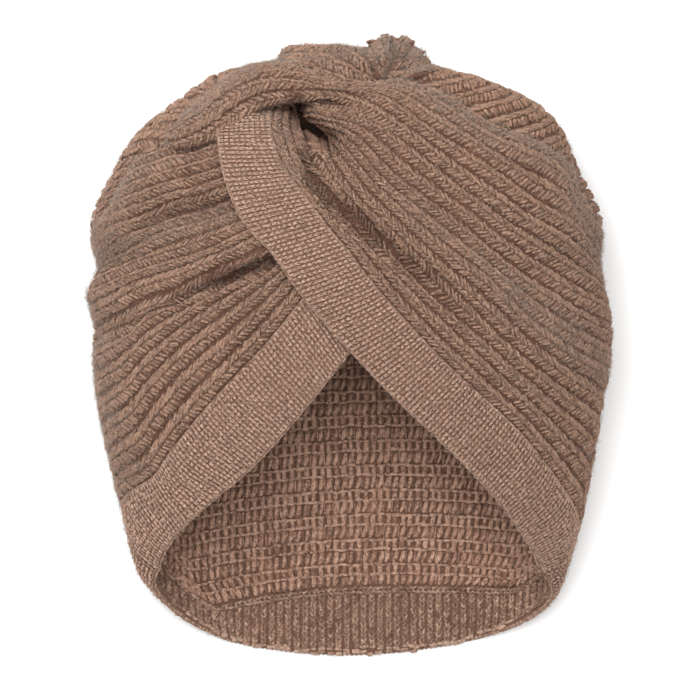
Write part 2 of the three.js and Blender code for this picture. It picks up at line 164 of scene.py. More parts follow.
@dataclass(frozen=True)
class BonnetForm:
    """The whole soft form as cross-sections from nape to crown, in mm.

    Each section holds its level, left, right, bottom, side height and top height.
    """

    front_shape: float = 2.25
    back_shape: float = 3.4
    rest_flat: float = 1.6
    shift: Pair = (1.029, -0.157)
    sections: Sequence[Sequence[float]] = (
        (-113, -18, 14, 0, 2.5, 6), (-107, -42, 38, 0, 6, 14), (-101, -54, 55, 0, 10, 23),
        (-92, -66, 68.5, 0, 15, 33), (-80, -76, 75, 0, 22, 46), (-54, -82.5, 81.5, 0, 31, 66),
        (-19, -90, 87.5, 0, 36, 83), (5, -91.5, 90.5, 0, 38, 91), (31, -88.5, 86.5, 0, 39, 96),
        (41, -93, 88, 0, 40, 96), (63, -84, 79, 0, 41, 93), (76, -75, 73, 1, 42, 88),
        (86, -62.5, 62.5, 5, 43, 81), (94, -51.5, 44, 12, 44, 74), (98, -40, 29, 18, 45, 69),
        (100, -28.5, 26.7, 22, 45, 66), (104, -23.5, 23.2, 32, 45, 58), (105.3, -17, 21.5, 36, 45, 55),
        (106.4, 4, 20.5, 40, 46, 52), (109.2, 10, 18.8, 43, 46, 49),
    )

    @property
    def offset(self) -> Array:
        """Shift from the drawn form to the shared frame."""
        return np.array([*self.shift, 0.0])

    def section(self, y: Array) -> tuple[Array, Array, Array, Array, Array]:
        """Centre, half width, bottom, side and top of the section at each level."""
        table = np.array(self.sections, float)
        left, right, bottom, side, top = (smooth_curve(table[:, 0], table[:, k], y) for k in range(1, 6))
        return (left + right) / 2, np.maximum((right - left) / 2, 2), np.maximum(bottom, 0), side, top

    def point(self, turn: Array, y: Array) -> Array:
        """Points of the form at turns in degrees round each section, 0 at the front."""
        centre, half, bottom, side, top = self.section(y)
        across, up = np.sin(np.radians(turn)), np.cos(np.radians(turn))
        power = np.where(up >= 0, self.front_shape, self.back_shape)
        reach = (np.abs(across) ** power + np.abs(up) ** power) ** (-1 / power)
        depth = side - bottom
        lift = np.maximum(depth * (1 + reach * up) - self.rest_flat, 0)
        low = bottom + lift * depth / np.maximum(depth - self.rest_flat, 0.5)
        z = np.where(up >= 0, side + (top - side) * reach * up, low)
        return np.stack([centre + half * reach * across, np.asarray(y, float), z], axis=1)

    def normal(self, turn: Array, y: Array) -> Array:
        """Outward direction of the smooth form."""
        round_it = self.point(turn + 0.5, y) - self.point(turn - 0.5, y)
        rise = self.point(turn, y + 0.5) - self.point(turn, y - 0.5)
        return unit(np.cross(round_it, rise))

    def turns_at(self, x: Array, y: Array) -> Array:
        """Turns of the points of the front that lie over places of the outline."""
        centre, half, *_ = self.section(y)
        share = np.clip((x - centre) / half, -0.995, 0.995)
        rise = (1 - np.abs(share) ** self.front_shape) ** (1 / self.front_shape)
        return np.degrees(np.arctan2(share, rise))

    def turn_of(self, spot: Spot) -> float:
        """Turn of the point of the front that lies over one spot of the outline."""
        return float(self.turns_at(np.array([spot[0]], float), np.array([spot[1]], float))[0])


FORM = BonnetForm()


@dataclass(frozen=True)
class Rib:
    """One traced rib: its number, the level of its side end and its path over the front."""

    number: float
    side: Optional[float]
    path: Sequence[Spot]
    lift: float = 0.0


@dataclass
class FrontSheet:
    """Outer surface of a wrap, read at u along its ribs and v ribs up from the band.

    Folds calm down towards the side seam. An overhang drops one rib over the crease below it.
    """

    ribs: Sequence[Rib]
    seam: float
    folds: Sequence[Fold]
    lift: Callable[[Array, Array, Array], Array]
    facing: float = 1.0
    overhang: float = 0.0
    overhang_rib: Pair = (6.6, 0.7)
    overhang_from: Pair = (0.15, 0.35)
    calm: float = 0.85
    calm_turns: Pair = (86.0, 95.5)

    def points(self, u: Array, v: Array) -> Array:
        """Points of the sheet in mm."""
        numbers = np.array([rib.number for rib in self.ribs], float)
        stations = np.array([self.stations(rib) for rib in self.ribs], float)
        count = stations.shape[1]
        order = np.linspace(0, 1, count)
        turns = np.stack([smooth_curve(numbers, stations[:, i, 0], v) for i in range(count)], axis=1)
        levels = np.stack([smooth_curve(numbers, stations[:, i, 1], v) for i in range(count)], axis=1)
        turn, y = smooth_curve(order, turns, u), smooth_curve(order, levels, u)
        if not self.seam:
            turn = FORM.turns_at(turn, y)
        point = FORM.point(turn, y)
        down = self.lift(u, v, point)
        calm = 1 - self.calm * smoothstep(np.abs(turn), *self.calm_turns)
        rise = folds_height(self.folds, point) * calm
        point = point + FORM.normal(turn, y) * rise[:, None]
        point[:, 2] += down
        rib, width = self.overhang_rib
        hang = np.exp(-(((v - rib) / width) ** 2)) * smoothstep(u, *self.overhang_from)
        point[:, 1] -= self.overhang * hang
        return point

    def stations(self, rib: Rib) -> list[Spot]:
        """Turn and level of each station of a rib, or its place where the sheet has no seam."""
        if not self.seam:
            return list(rib.path)
        spots = [(FORM.turn_of(spot), spot[1]) for spot in rib.path]
        if rib.side is None:
            return spots
        end = (self.seam, rib.side)
        return [end, *spots] if self.seam < 0 else [*spots, end]


@dataclass(frozen=True)
class Ring:
    """One ring of the back: its ends where they leave the side seam, and its levels."""

    number: float
    left_side: float
    middle: float
    right_side: float
    left_end: Optional[Spot] = None
    right_end: Optional[Spot] = None


@dataclass
class BackSheet:
    """Outer surface of the back, from the left end round the back to the right end."""

    rings: Sequence[Ring]
    folds: Sequence[Fold]
    seam: float = 96.0
    under: float = 2.6
    fine_from: float = 13.0
    fine_share: float = 0.65
    notch: Sequence[Spot] = ((-9, 113), (-3.2, 103.6), (-1.4, 102.4), (1.4, 101.2), (2.8, 100.8),
                             (4.2, 101.8), (8, 104.4), (10.5, 106.6), (15, 113))
    notch_pull: float = 0.85
    tucked_from: float = 15.0
    tucked_over: Pair = (0.4, 1.0)
    tucked_until: Pair = (22.8, 24.3)
    front_turns: Pair = (78.0, 90.0)
    facing: float = -1.0

    def points(self, u: Array, v: Array) -> Array:
        """Points of the sheet in mm, with narrower ribs on the crown."""
        v = np.where(v > self.fine_from, self.fine_from + (v - self.fine_from) * self.fine_share, v)
        columns = self.columns(v)
        left_turn, right_turn = columns[0], columns[-1]
        turn = left_turn + (right_turn - left_turn) * u
        y = self.level(columns, turn)
        point = FORM.point(turn, y)
        over_left = np.clip((turn - LEFT_SIDE) / np.maximum(left_turn - LEFT_SIDE, 1), 0, 1)
        over_right = np.clip((turn - RIGHT_SIDE) / np.minimum(right_turn - RIGHT_SIDE, -1), 0, 1)
        over = np.where(v > self.tucked_from, np.maximum(over_left, over_right), 0)
        sink = -self.under * smoothstep(over, *self.tucked_over) * (1 - smoothstep(v, *self.tucked_until))
        facing = smoothstep(np.abs(turn + 180), *self.front_turns) * (v > 0)
        rise = sink + folds_height(self.folds, point) * facing
        point = point + FORM.normal(turn, y) * rise[:, None]
        limit = np.interp(point[:, 0], *np.transpose(self.notch))
        point[:, 1] -= self.notch_pull * np.maximum(point[:, 1] - limit, 0)
        return point

    def columns(self, v: Array) -> list[Array]:
        """Turns and levels of the rings at v, in the order that ends gives them."""
        numbers = np.array([ring.number for ring in self.rings], float)
        ends = np.array([self.ends(ring) for ring in self.rings], float)
        return [smooth_curve(numbers, ends[:, k], v) for k in range(7)]

    @staticmethod
    def level(columns: Sequence[Array], turn: Array) -> Array:
        """Level of each ring at a turn."""
        left_turn, left_level, left, middle, right, right_level, right_turn = columns
        whole = np.ones_like(turn)
        fixed = [ring_turn * whole for ring_turn in RING_TURNS]
        turns = np.stack([left_turn + 0.01, *fixed, right_turn - 0.01], axis=1)
        levels = np.stack([left_level, left, middle + (left - middle) * RING_BOW, middle,
                           middle + (right - middle) * RING_BOW, right, right_level], axis=1)
        return smooth_curve(-turns, levels, -turn)

    def ends(self, ring: Ring) -> tuple[float, ...]:
        """Turns and levels of a ring from its left end to its right end."""
        left = FORM.turn_of(ring.left_end) if ring.left_end else -self.seam
        right = (FORM.turn_of(ring.right_end) if ring.right_end else self.seam) - 360
        left_level = ring.left_end[1] if ring.left_end else ring.left_side
        right_level = ring.right_end[1] if ring.right_end else ring.right_side
        return left, left_level, ring.left_side, ring.middle, ring.right_side, right_level, right


@dataclass(frozen=True)
class PatchSheet:
    """A small bulging piece between four corners in mm, low and high at its left and right end."""

    corners: Sequence[tuple[float, float, float]]
    bulge: tuple[float, float, float]
    ribs: float
    facing: float = 1.0

    def points(self, u: Array, v: Array) -> Array:
        """Points of the sheet in mm."""
        low_left, low_right, high_left, high_right = (np.array(corner, float) for corner in self.corners)
        across, up = np.asarray(u)[:, None], np.asarray(v)[:, None] / self.ribs
        low = low_left + (low_right - low_left) * across
        high = high_left + (high_right - high_left) * across
        swell = np.sin(np.pi * np.clip(across, 0, 1)) * np.sin(np.pi * np.clip(up, 0, 1))
        return low + (high - low) * up + np.array(self.bulge) * swell


@dataclass(frozen=True)
class InsideSheet:
    """Inner rows of the back: the hem at -1, the seam of the nape band at 0, then one for each row."""

    back: BackSheet
    seam: float = -85.0
    row: float = 8.75
    apex: float = 14.0
    bow: Pair = (0.0016, 0.0005)
    bow_change: float = 0.001
    hem_rib: float = -4.0
    side: Pair = (54.0, 70.0)
    facing: float = -1.0

    def points(self, u: Array, v: Array) -> Array:
        """Points of the sheet in mm, from the left side round the back to the right side."""
        turn = LEFT_SIDE + (RIGHT_SIDE - LEFT_SIDE) * u
        whole = np.ones_like(turn)
        x = FORM.point(turn, self.seam * whole)[:, 0]
        bow = np.where(x < self.apex, self.bow[0], self.bow[1] + self.bow_change * smoothstep(v, 0, 1))
        seam, hem = (self.back.level(self.back.columns(rib * whole), turn) for rib in (0.0, self.hem_rib))
        turned = smoothstep(np.abs(x), *self.side)
        seam = seam * turned + (self.seam - bow * (x - self.apex) ** 2) * (1 - turned)
        return FORM.point(turn, np.where(v < 0, seam + (seam - hem) * v, seam + self.row * v))


Sheet = FrontSheet | BackSheet | PatchSheet | InsideSheet


@dataclass(frozen=True)
class Layering:
    """How far the wraps dip under and rise over each other, in mm, and the ranges where they do.

    A range is given along the ribs, as a share of their length, or across them, in ribs.
    """

    tuck: float = 4.4
    fold_tuck: float = 5.0
    crest_drop: float = 4.6
    under: float = 3.4
    pits: Sequence[Fold] = (
        Fold(((-31.5, 83.8), (-20, 83.4)), -10, 2.3),
        Fold(((-19.5, 85), (-19, 79), (-14, 75), (-9, 72)), -14, 2.8),
    )
    pit_depth: float = -3.0
    shade_sheet_sink: float = 7.0
    well: Sequence[Fold] = (Fold(((-24, 84), (-12, 75)), -15, 9),)
    left_inner: Pair = (0.7, 0.87)
    left_inner_ribs: Pair = (15.3, 17.0)
    left_start: Pair = (0.0, 0.07)
    left_crest_ribs: Pair = (12.5, 14.5)
    left_fold_ribs: Pair = (15.6, 17.2)
    over_start: Pair = (0.0, 0.14)
    over_tip: Pair = (0.0, 0.06)
    over_level: Pair = (0.42, 0.66)
    over_end: Pair = (0.9, 0.99)
    over_crest_ribs: Pair = (3.4, 5.0)
    over_drop: Pair = (0.7, 1.2)
    dome_lift: Pair = (0.4, 2.4)
    dome_ribs: float = 4.0
    dome_end: Pair = (0.75, 1.0)
    dome_drop: float = 3.0
    tuft_lift: Pair = (0.6, 2.2)
    right_start: Pair = (0.01, 0.12)
    right_band_ribs: Pair = (0.0, 4.0)
    right_drop: Pair = (3.5, 2.5)
    right_under_ribs: Pair = (10.0, 11.0)

    def left(self, u: Array, v: Array, point: Array) -> Array:
        """Lift of the left wrap, which dips under the right band."""
        inner = smoothstep(u, *self.left_inner) * (1 - smoothstep(v, *self.left_inner_ribs))
        turned = (1 - smoothstep(u, *self.left_start)) * smoothstep(v, *self.left_crest_ribs)
        folded = smoothstep(v, *self.left_fold_ribs)
        return -self.tuck * inner - self.crest_drop * turned - self.fold_tuck * folded

    def over(self, u: Array, v: Array, point: Array) -> Array:
        """Lift of the ribs that roll over the twist, highest along their middle."""
        numbers, lifts = np.array([(rib.number, rib.lift) for rib in OVER_RIBS], float).T
        roll = smooth_curve(numbers, lifts, v)
        start, level = 1 - smoothstep(u, *self.over_start), smoothstep(u, *self.over_level)
        turned = smoothstep(v, *self.over_crest_ribs) * level * (1 - smoothstep(u, *self.over_end))
        tip = 1 - smoothstep(u, *self.over_tip)
        flatter, lower = self.over_drop
        return roll * (1 - flatter * start) * (1 - level) - lower * start - self.crest_drop * (turned + tip)

    def dome(self, u: Array, v: Array, point: Array) -> Array:
        """Lift of the smooth fold beside the tuft."""
        base, swell = self.dome_lift
        hump = np.sin(np.pi * np.clip(u, 0, 1)) * np.sin(np.pi * np.clip(v / self.dome_ribs, 0, 1))
        return base + swell * hump - self.dome_drop * smoothstep(u, *self.dome_end)

    def tuft(self, u: Array, v: Array, point: Array) -> Array:
        """Lift of the gathered tuft over the crown."""
        base, swell = self.tuft_lift
        return base + swell * np.sin(np.pi * np.clip(u, 0, 1))

    def core(self, u: Array, v: Array, point: Array) -> Array:
        """Lift of the dark sheet under the crown, put there as painted shade for the twist's pit; deepest
        inside the twist.
        """
        return -self.shade_sheet_sink + folds_height(self.well, point)

    def open(self, points: Array) -> Array:
        """True for points of the shared frame that are clear of the table and of the twist's pit."""
        clear = folds_height(self.pits, points - FORM.offset) > self.pit_depth
        return (points[:, 2] > TABLE_CLEAR) & clear

    def right(self, u: Array, v: Array, point: Array) -> Array:
        """Lift of the right wrap, which starts deep in the twist."""
        start, band = 1 - smoothstep(u, *self.right_start), 1 - smoothstep(v, *self.right_band_ribs)
        drop, band_drop = self.right_drop
        sunk = -(drop + band_drop * band) * start + folds_height(self.pits, point)
        return sunk - self.under * smoothstep(v, *self.right_under_ribs)


LEFT_RIBS = (
    Rib(-4, None, ((-69, -79), (-62, -66), (-49, -54), (-34, -41), (-17, -22), (-1, -2))),
    Rib(0, -57, ((-74, -48), (-66, -39), (-53, -23), (-34, -3), (-15, 20))),
    Rib(3, -30, ((-82, -22), (-72, -11), (-58, 2), (-41, 14), (-22, 29))),
    Rib(6, -2, ((-85, 3), (-73, 12), (-59, 18), (-45, 26), (-27, 35))),
    Rib(9, 17, ((-85, 22), (-75, 27), (-62, 31), (-48, 36), (-32, 43))),
    Rib(12, 28, ((-85, 35), (-75, 41), (-64, 46), (-52, 49), (-38, 54))),
    Rib(15, None, ((-83, 48), (-78, 52), (-72, 55), (-65, 58), (-57, 60), (-45, 63.5))),
    Rib(18, None, ((-75, 64), (-71, 67), (-66, 70), (-60, 73), (-55, 74), (-48, 76))),
)
OVER_RIBS = (
    Rib(0, 18, ((-66, 67.5), (-56, 68.6), (-47, 71.6), (-38, 78.4), (-29, 82.8), (-17, 84), (-11, 84.5),
                (-4, 82.5), (6, 76.5), (21, 68), (39, 54), (55, 43), (71, 34), (83, 26)), -3.5),
    Rib(1, 21.5, ((-67, 70.4), (-57.5, 73.4), (-48, 78.6), (-39, 85), (-29.5, 88.4), (-18, 88.8),
                  (-11, 88), (-3, 87.2), (9, 81.5), (23.5, 71.5), (41.5, 59),
                  (57, 48.5), (72, 40.5), (83, 31.5)), 2.2),
    Rib(2, 25, ((-65, 74.5), (-56, 80), (-46.5, 87.2), (-37.5, 92.4), (-29, 94.6), (-18.5, 93.4),
                (-10.5, 90.3), (-2, 89.2), (11, 85.6), (26, 75), (44, 64), (59, 54), (73, 47), (83, 37)), 5),
    Rib(3, 26, ((-62, 78), (-53.5, 84), (-44.5, 91), (-36.5, 95.6), (-28.5, 97.2), (-19, 96), (-9.8, 92),
                (-0.5, 90.1), (13, 87.8), (27.5, 79.5), (44.5, 69), (59, 61.5), (72, 54.5), (82, 42)), 5),
    Rib(4, 27, ((-59.5, 81), (-51.5, 87), (-42.5, 93.8), (-35, 97.6), (-28, 98.6), (-19.3, 97.8),
                (-9.3, 93.4), (1, 90.6), (14, 89.7), (29, 84), (45, 74), (59, 69), (71, 62), (81, 47)), 2.5),
    Rib(5, 29, ((-57.5, 84), (-49.5, 90), (-41, 95.8), (-34, 98.8), (-27, 99.6), (-19, 98.9), (-8.5, 95.3),
                (2.5, 92), (16, 91), (31, 87), (47, 77), (61, 72), (73, 64), (82.5, 49)), -2),
)
DOME_RIBS = (
    Rib(0, None, ((-27.6, 99.4), (-18.9, 95.9), (-8.4, 92.4), (3.9, 88.9))),
    Rib(1, None, ((-24.9, 102.6), (-16.1, 99.7), (-5.6, 95.6), (6.3, 90.7))),
    Rib(2, None, ((-20.3, 104.6), (-11.2, 103.2), (-2.5, 99.8), (8, 93.8))),
    Rib(3, None, ((-11.2, 105.2), (-3.9, 104.6), (2.5, 101.9), (9.5, 96.6))),
    Rib(4, None, ((-3.2, 105.3), (1, 104.4), (5.2, 102.6), (11.5, 98.9))),
)
TUFT_RIBS = (
    Rib(0, None, ((9.5, 94.6), (7.2, 97.2), (5, 99.8), (3, 102))),
    Rib(1, None, ((10.2, 94.8), (8.6, 98.2), (7.2, 101.6), (6, 104.4))),
    Rib(2, None, ((11, 95), (10.3, 99.4), (9.8, 103.6), (9.4, 107.2))),
    Rib(2.7, None, ((11.6, 95.2), (11.6, 99.8), (11.6, 104.2), (11.6, 108.1))),
    Rib(3.3, None, ((12.3, 95.3), (13.1, 99.4), (13.9, 103.6), (14.6, 107.1))),
    Rib(4, None, ((13, 95.3), (14.5, 99.4), (16, 103.8), (17.2, 107.8))),
    Rib(4.7, None, ((13.6, 95.2), (15.8, 98.8), (18, 102.4), (19.8, 105.4))),
    Rib(5.2, None, ((14, 95), (16.3, 98), (18.6, 101), (20.6, 103.6))),
    Rib(5.8, None, ((14.4, 94.8), (17.6, 97.2), (20.9, 99.7), (23.8, 101.8))),
    Rib(6.4, None, ((14.7, 94.5), (18.4, 96), (22.2, 97.6), (25.6, 99))),
    Rib(7, None, ((15, 94), (19.6, 94.8), (24.4, 95.7), (28.9, 96.6))),
)
RIGHT_RIBS = (
    Rib(-4, None, ((-43, 87), (-47, 67), (-37, 41), (-13, 11), (14, -18), (40, -43), (59, -66), (66, -80))),
    Rib(0, -68, ((-28, 90), (-26.5, 67), (-13, 47), (8, 20), (30, -4), (54, -26), (74, -50))),
    Rib(2, -46, ((-21.8, 87), (-18, 66), (-5, 49), (14, 26), (35, 5), (57, -15), (77, -33))),
    Rib(3, -36.5, ((-18.2, 76.6), (-12.7, 65.5), (-1, 49.5), (17.5, 29), (37.5, 9.5), (58.5, -9.5),
                   (78, -25.5))),
    Rib(4, -27, ((-8.6, 71.2), (-7.5, 65), (3, 50), (21, 32), (40, 14), (60, -4), (79, -18))),
    Rib(6, -10, ((-12, 75), (-2, 68), (10, 54), (28, 38), (46, 24), (64, 8), (81, -3))),
    Rib(8, 6, ((-17.4, 79), (0, 73.5), (16, 59), (34, 46), (50, 33), (67, 21), (83, 12))),
    Rib(10, 18, ((-19.2, 84.3), (2, 79), (21, 68), (39, 54), (55, 43), (71, 34), (83, 26))),
    Rib(12, 25, ((-15, 88), (5, 83), (26, 75), (44, 64), (59, 54), (73, 47), (83, 37))),
)
CORE_RIBS = (
    Rib(0, None, ((-46, 60), (-24, 60), (-2, 60), (22, 60))),
    Rib(2, None, ((-46, 76), (-22, 76), (2, 76), (28, 72))),
    Rib(4, None, ((-44, 88), (-20, 88), (6, 86), (34, 80))),
    Rib(6, None, ((-28, 97), (-12, 96), (8, 94), (32, 88))),
    Rib(7, None, ((-18, 100), (-6, 99), (8, 97), (26, 93))),
)
BACK_RINGS = (
    Ring(-4, -98, -109, -97, (-69, -79), (66, -80)),
    Ring(0, -57, -89, -68),
    Ring(3, -30, -62, -36.5),
    Ring(6, -2, -36, -10),
    Ring(9, 17, -9, 12.5),
    Ring(12, 28, 17, 25),
    Ring(13, 32, 26, 29, (-87, 37), (86, 33)),
    Ring(14.5, 39, 38, 38, (-79, 46), (80, 40)),
    Ring(16, 47, 50, 50, (-70, 58), (70, 51)),
    Ring(19, 66, 72, 69, (-65, 72), (56, 62)),
    Ring(21, 84, 87, 85, (-41, 90), (36, 76)),
    Ring(22.5, 94, 96, 93, (-5, 92), (10, 86)),
    Ring(24, 100, 102, 99, (0, 98), (3, 97)),
    Ring(25, 103.5, 105.5, 103.5, (2.6, 102.6), (4, 102.4)),
    Ring(26, 108.6, 108.8, 108.6, (13, 108.6), (14.5, 108.6)),
)
LEFT_FOLDS = (
    Fold(((-70, 15), (-52, 22), (-30, 29.5)), -10, 2.6, (0.6, 0)),
    Fold(((-90, 4), (-79, 10)), -3.5, 3.6),
    Fold(((-88, 18), (-72, 24), (-54, 30), (-36, 38)), 4.2, 6.5),
    Fold(((-82, 42), (-65, 46), (-42, 51)), -4.5, 3.2, (0.5, 0)),
    Fold(((-68, 69), (-60, 70), (-54, 72)), -2.2, 4),
    Fold(((-86, 34), (-79, 56), (-68, 71)), 2.6, 7),
)
RIGHT_FOLDS = (
    Fold(((-18, 74), (-15, 60), (-9.5, 52), (1.4, 43.4), (16, 31), (33, 16.5), (50, 0)), -7.5, 2.8,
         (0.1, 0.55)),
    Fold(((0, 62), (28, 40), (52, 21)), 1.8, 5),
    Fold(((42, 30), (55, 17), (70, 4), (84, -8)), 1.6, 5),
    Fold(((6, 80), (30, 72), (52, 56)), 3.4, 10),
    Fold(((16, 90), (44, 74), (59, 69), (72, 60)), 2.4, 7),
)
BACK_FOLDS = (
    Fold(((-92, 32), (-84, 46), (-72, 66), (-46, 91), (-8, 94)), -5, 6),
    Fold(((88, 31), (80, 49), (70, 63), (45, 75), (10, 89)), -6, 7),
    Fold(((-20, 101), (-6, 101)), 2.5, 5),
    Fold(((2, 96), (2.5, 103)), -3.5, 3),
)
TUFT_FOLDS = (
    Fold(((13.5, 95), (16, 99)), -6, 3),
    Fold(((10.5, 99), (11.4, 107)), 2.2, 2.4),
    Fold(((16, 103), (17.2, 107)), 1.8, 2),
    Fold(((20, 99.5), (23.5, 101.5)), 1.8, 2),
)


class KnitGrid:
    """A sheet read once on a fine grid, with its outward normals."""

    def __init__(self, sheet: Sheet, u: Pair, v: Pair, across: int, rows: int) -> None:
        """Reads the sheet.

        Args:
            sheet: The surface to read.
            u: First and last place along the ribs.
            v: First and last rib.
            across: Steps along u.
            rows: Steps along v.
        """
        self.u, self.v = np.linspace(*u, across + 1), np.linspace(*v, rows + 1)
        uu, vv = np.meshgrid(self.u, self.v, indexing="ij")
        flat = sheet.points(uu.ravel(), vv.ravel())
        flat += FORM.offset
        points = flat.reshape(across + 1, rows + 1, 3)
        along, rise = np.gradient(points, self.u, axis=0), np.gradient(points, self.v, axis=1)
        normals = unit(np.cross(along, rise)) * sheet.facing
        self.table = np.concatenate([points, normals], axis=2)

    def read(self, u: Array, v: Array) -> tuple[Array, Array]:
        """Points and normals between the grid's own ones."""
        u, v = np.broadcast_arrays(np.asarray(u, float), np.asarray(v, float))
        a = (u - self.u[0]) / (self.u[-1] - self.u[0]) * (len(self.u) - 1)
        b = (v - self.v[0]) / (self.v[-1] - self.v[0]) * (len(self.v) - 1)
        i = np.clip(np.floor(a).astype(int), 0, len(self.u) - 2)
        j = np.clip(np.floor(b).astype(int), 0, len(self.v) - 2)
        a, b = np.clip(a - i, -1, 2)[..., None], np.clip(b - j, -1, 2)[..., None]
        low = self.table[i, j] * (1 - a) + self.table[i + 1, j] * a
        high = self.table[i, j + 1] * (1 - a) + self.table[i + 1, j + 1] * a
        mixed = low * (1 - b) + high * b
        return mixed[..., :3], unit(mixed[..., 3:])


@dataclass
class KnitMesh:
    """Collects closed bodies of yarn and cloth and makes one object of them."""

    name: str
    points: list[Array] = field(default_factory=list)
    faces: list[Array] = field(default_factory=list)
    tones: list[Array] = field(default_factory=list)
    plies: list[Array] = field(default_factory=list)
    count: int = 0

    def add(self, points: Array, faces: Array, tone: Array, ply: Array) -> None:
        """Adds triangles with a shade for each point and its place on the yarn."""
        self.points.append(points)
        self.faces.append(faces + self.count)
        self.tones.append(tone)
        self.plies.append(ply)
        self.count += len(points)

    def build(self, material: bpy.types.Material, slot: str, nodes: Sequence[str]) -> bpy.types.Object:
        """Makes the object, dresses it and ties it to the frame.

        Args:
            material: The finish.
            slot: The record's material slot; not used.
            nodes: Frame nodes that the object stands for.

        Returns:
            The new object.
        """
        points = np.concatenate(self.points)
        points[:, 2] = np.maximum(points[:, 2], 0.0)
        faces = np.concatenate(self.faces).astype(np.int32)
        mesh = bpy.data.meshes.new(self.name)
        mesh.vertices.add(len(points))
        mesh.vertices.foreach_set("co", (points * MM).astype(np.float32).ravel())
        mesh.loops.add(faces.size)
        mesh.loops.foreach_set("vertex_index", faces.ravel())
        mesh.polygons.add(len(faces))
        mesh.polygons.foreach_set("loop_start", np.arange(0, faces.size, 3, dtype=np.int32))
        mesh.update(calc_edges=True)
        mesh.polygons.foreach_set("use_smooth", np.ones(len(faces), dtype=bool))
        tone = mesh.attributes.new("tone", "FLOAT", "POINT")
        tone.data.foreach_set("value", np.concatenate(self.tones).astype(np.float32))
        ply = mesh.attributes.new("ply", "FLOAT_VECTOR", "POINT")
        ply.data.foreach_set("vector", np.concatenate(self.plies).astype(np.float32).ravel())
        mesh.materials.append(material)
        piece = bpy.data.objects.new(self.name, mesh)
        bpy.context.collection.objects.link(piece)
        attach(piece, "root")
        if nodes:
            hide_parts(*nodes)
        LOG.info("%s: %d triangles", self.name, len(faces))
        return piece


@dataclass(frozen=True)
class Yarn:
    """Short closed lengths of yarn with rounded ends, swept along cubic curves."""

    sides: int = 6
    rings: int = 3
    inset: float = 0.6
    taper: float = 0.36

    def lay(self, mesh: KnitMesh, path: Array, normal: Array, radius: Array, tone: Array) -> None:
        """Adds one body for each curve.

        Args:
            mesh: Mesh to add to.
            path: Control points, four for each curve.
            normal: Outward direction at each curve.
            radius: Half thickness of each.
            tone: Shade of each.
        """
        count = len(path)
        if not count:
            return
        margin = self.inset / (self.rings + 1)
        t = np.concatenate([[0.0], np.linspace(margin, 1 - margin, self.rings), [1.0]])
        t[self.rings // 2 + 1] = 0.5 if self.rings % 2 else t[self.rings // 2 + 1]
        s = 1 - t
        mix = np.stack([s**3, 3 * s * s * t, 3 * s * t * t, t**3], axis=1)
        slope = np.stack([-3 * s * s, 3 * s * s - 6 * s * t, 6 * s * t - 3 * t * t, 3 * t * t], axis=1)
        centre = np.einsum("rk,mkc->mrc", mix, path)
        along = unit(np.einsum("rk,mkc->mrc", slope, path))
        across = unit(np.cross(along, normal[:, None, :]))
        up = np.cross(across, along)
        girth = (4 * t * s) ** self.taper
        angle = np.arange(self.sides) * 2 * math.pi / self.sides
        circle = np.stack([np.cos(angle), np.sin(angle)], axis=1)
        ring = across[:, 1:-1, None, :] * circle[:, :1] + up[:, 1:-1, None, :] * circle[:, 1:]
        size = radius[:, None] * girth[None, 1:-1]
        body = centre[:, 1:-1, None, :] + ring * size[:, :, None, None]
        length = np.linalg.norm(path[:, 3] - path[:, 0], axis=1)
        points = np.concatenate([centre[:, :1], body.reshape(count, -1, 3), centre[:, -1:]], axis=1)
        ply_ring = np.broadcast_to(circle, (count, self.rings, self.sides, 2))
        ply_along = length[:, None, None] * t[None, 1:-1, None] * np.ones(self.sides)
        ply_body = np.concatenate([ply_along[..., None], ply_ring], axis=3).reshape(count, -1, 3)
        tip = np.zeros((count, 1, 3))
        end = tip.copy()
        end[:, 0, 0] = length
        ply = np.concatenate([tip, ply_body, end], axis=1)
        faces = self.faces()
        per = points.shape[1]
        all_faces = (faces[None] + (np.arange(count) * per)[:, None, None]).reshape(-1, 3)
        mesh.add(points.reshape(-1, 3), all_faces, np.repeat(tone, per), ply.reshape(-1, 3))

    def faces(self) -> Array:
        """Triangles of one body."""
        n, made = self.sides, []
        last = 1 + self.rings * n
        for j in range(n):
            k = (j + 1) % n
            made.append((0, 1 + j, 1 + k))
            for r in range(self.rings - 1):
                a, b = 1 + r * n, 1 + (r + 1) * n
                made += [(a + j, b + j, b + k), (a + j, b + k, a + k)]
            top = 1 + (self.rings - 1) * n
            made.append((top + j, last, top + k))
        return np.array(made)


STITCH_YARN, THIN_YARN = Yarn(4, 2), Yarn(3, 1)
SOFT_CRESTS = (
    Fold(((-37.5, 95.6), (-51.5, 84), (-63, 77), (-71.4, 71), (-77, 60), (-82, 51), (-85, 44), (-87.5, 35)),
         0.75, 6),
    Fold(((16, 91), (30, 84.4), (37.5, 78), (45, 73.5), (60.6, 70), (68, 67), (74, 63), (77, 49),
          (85, 33.6)), 0.75, 5),
    Fold(((54, 17), (70, 4), (85, -8)), 0.65, 5),
    Fold(((17, 49), (50, 24), (83, 2)), 0.45, 3.5),
    Fold(((-84, 32), (-62, 39), (-44, 45)), 0.6, 5),
    Fold(((-90, 10), (-86, -20), (-80, -50)), 0.5, 8),
    Fold(((-26, 101), (-17, 103), (0, 103)), 0.7, 4),
    Fold(((-29, 82), (-26, 72), (-20, 60)), 0.6, 5),
    Fold(((8, 103), (17, 103), (24, 98)), 0.6, 5),
)


def softness(points: Array) -> Array:
    """Share of the stitches' depth that is lost on worn and fuzzy crests."""
    flat = points.reshape(-1, points.shape[-1])
    return np.clip(folds_height(SOFT_CRESTS, flat), 0, MOST_WORN).reshape(points.shape[:-1])


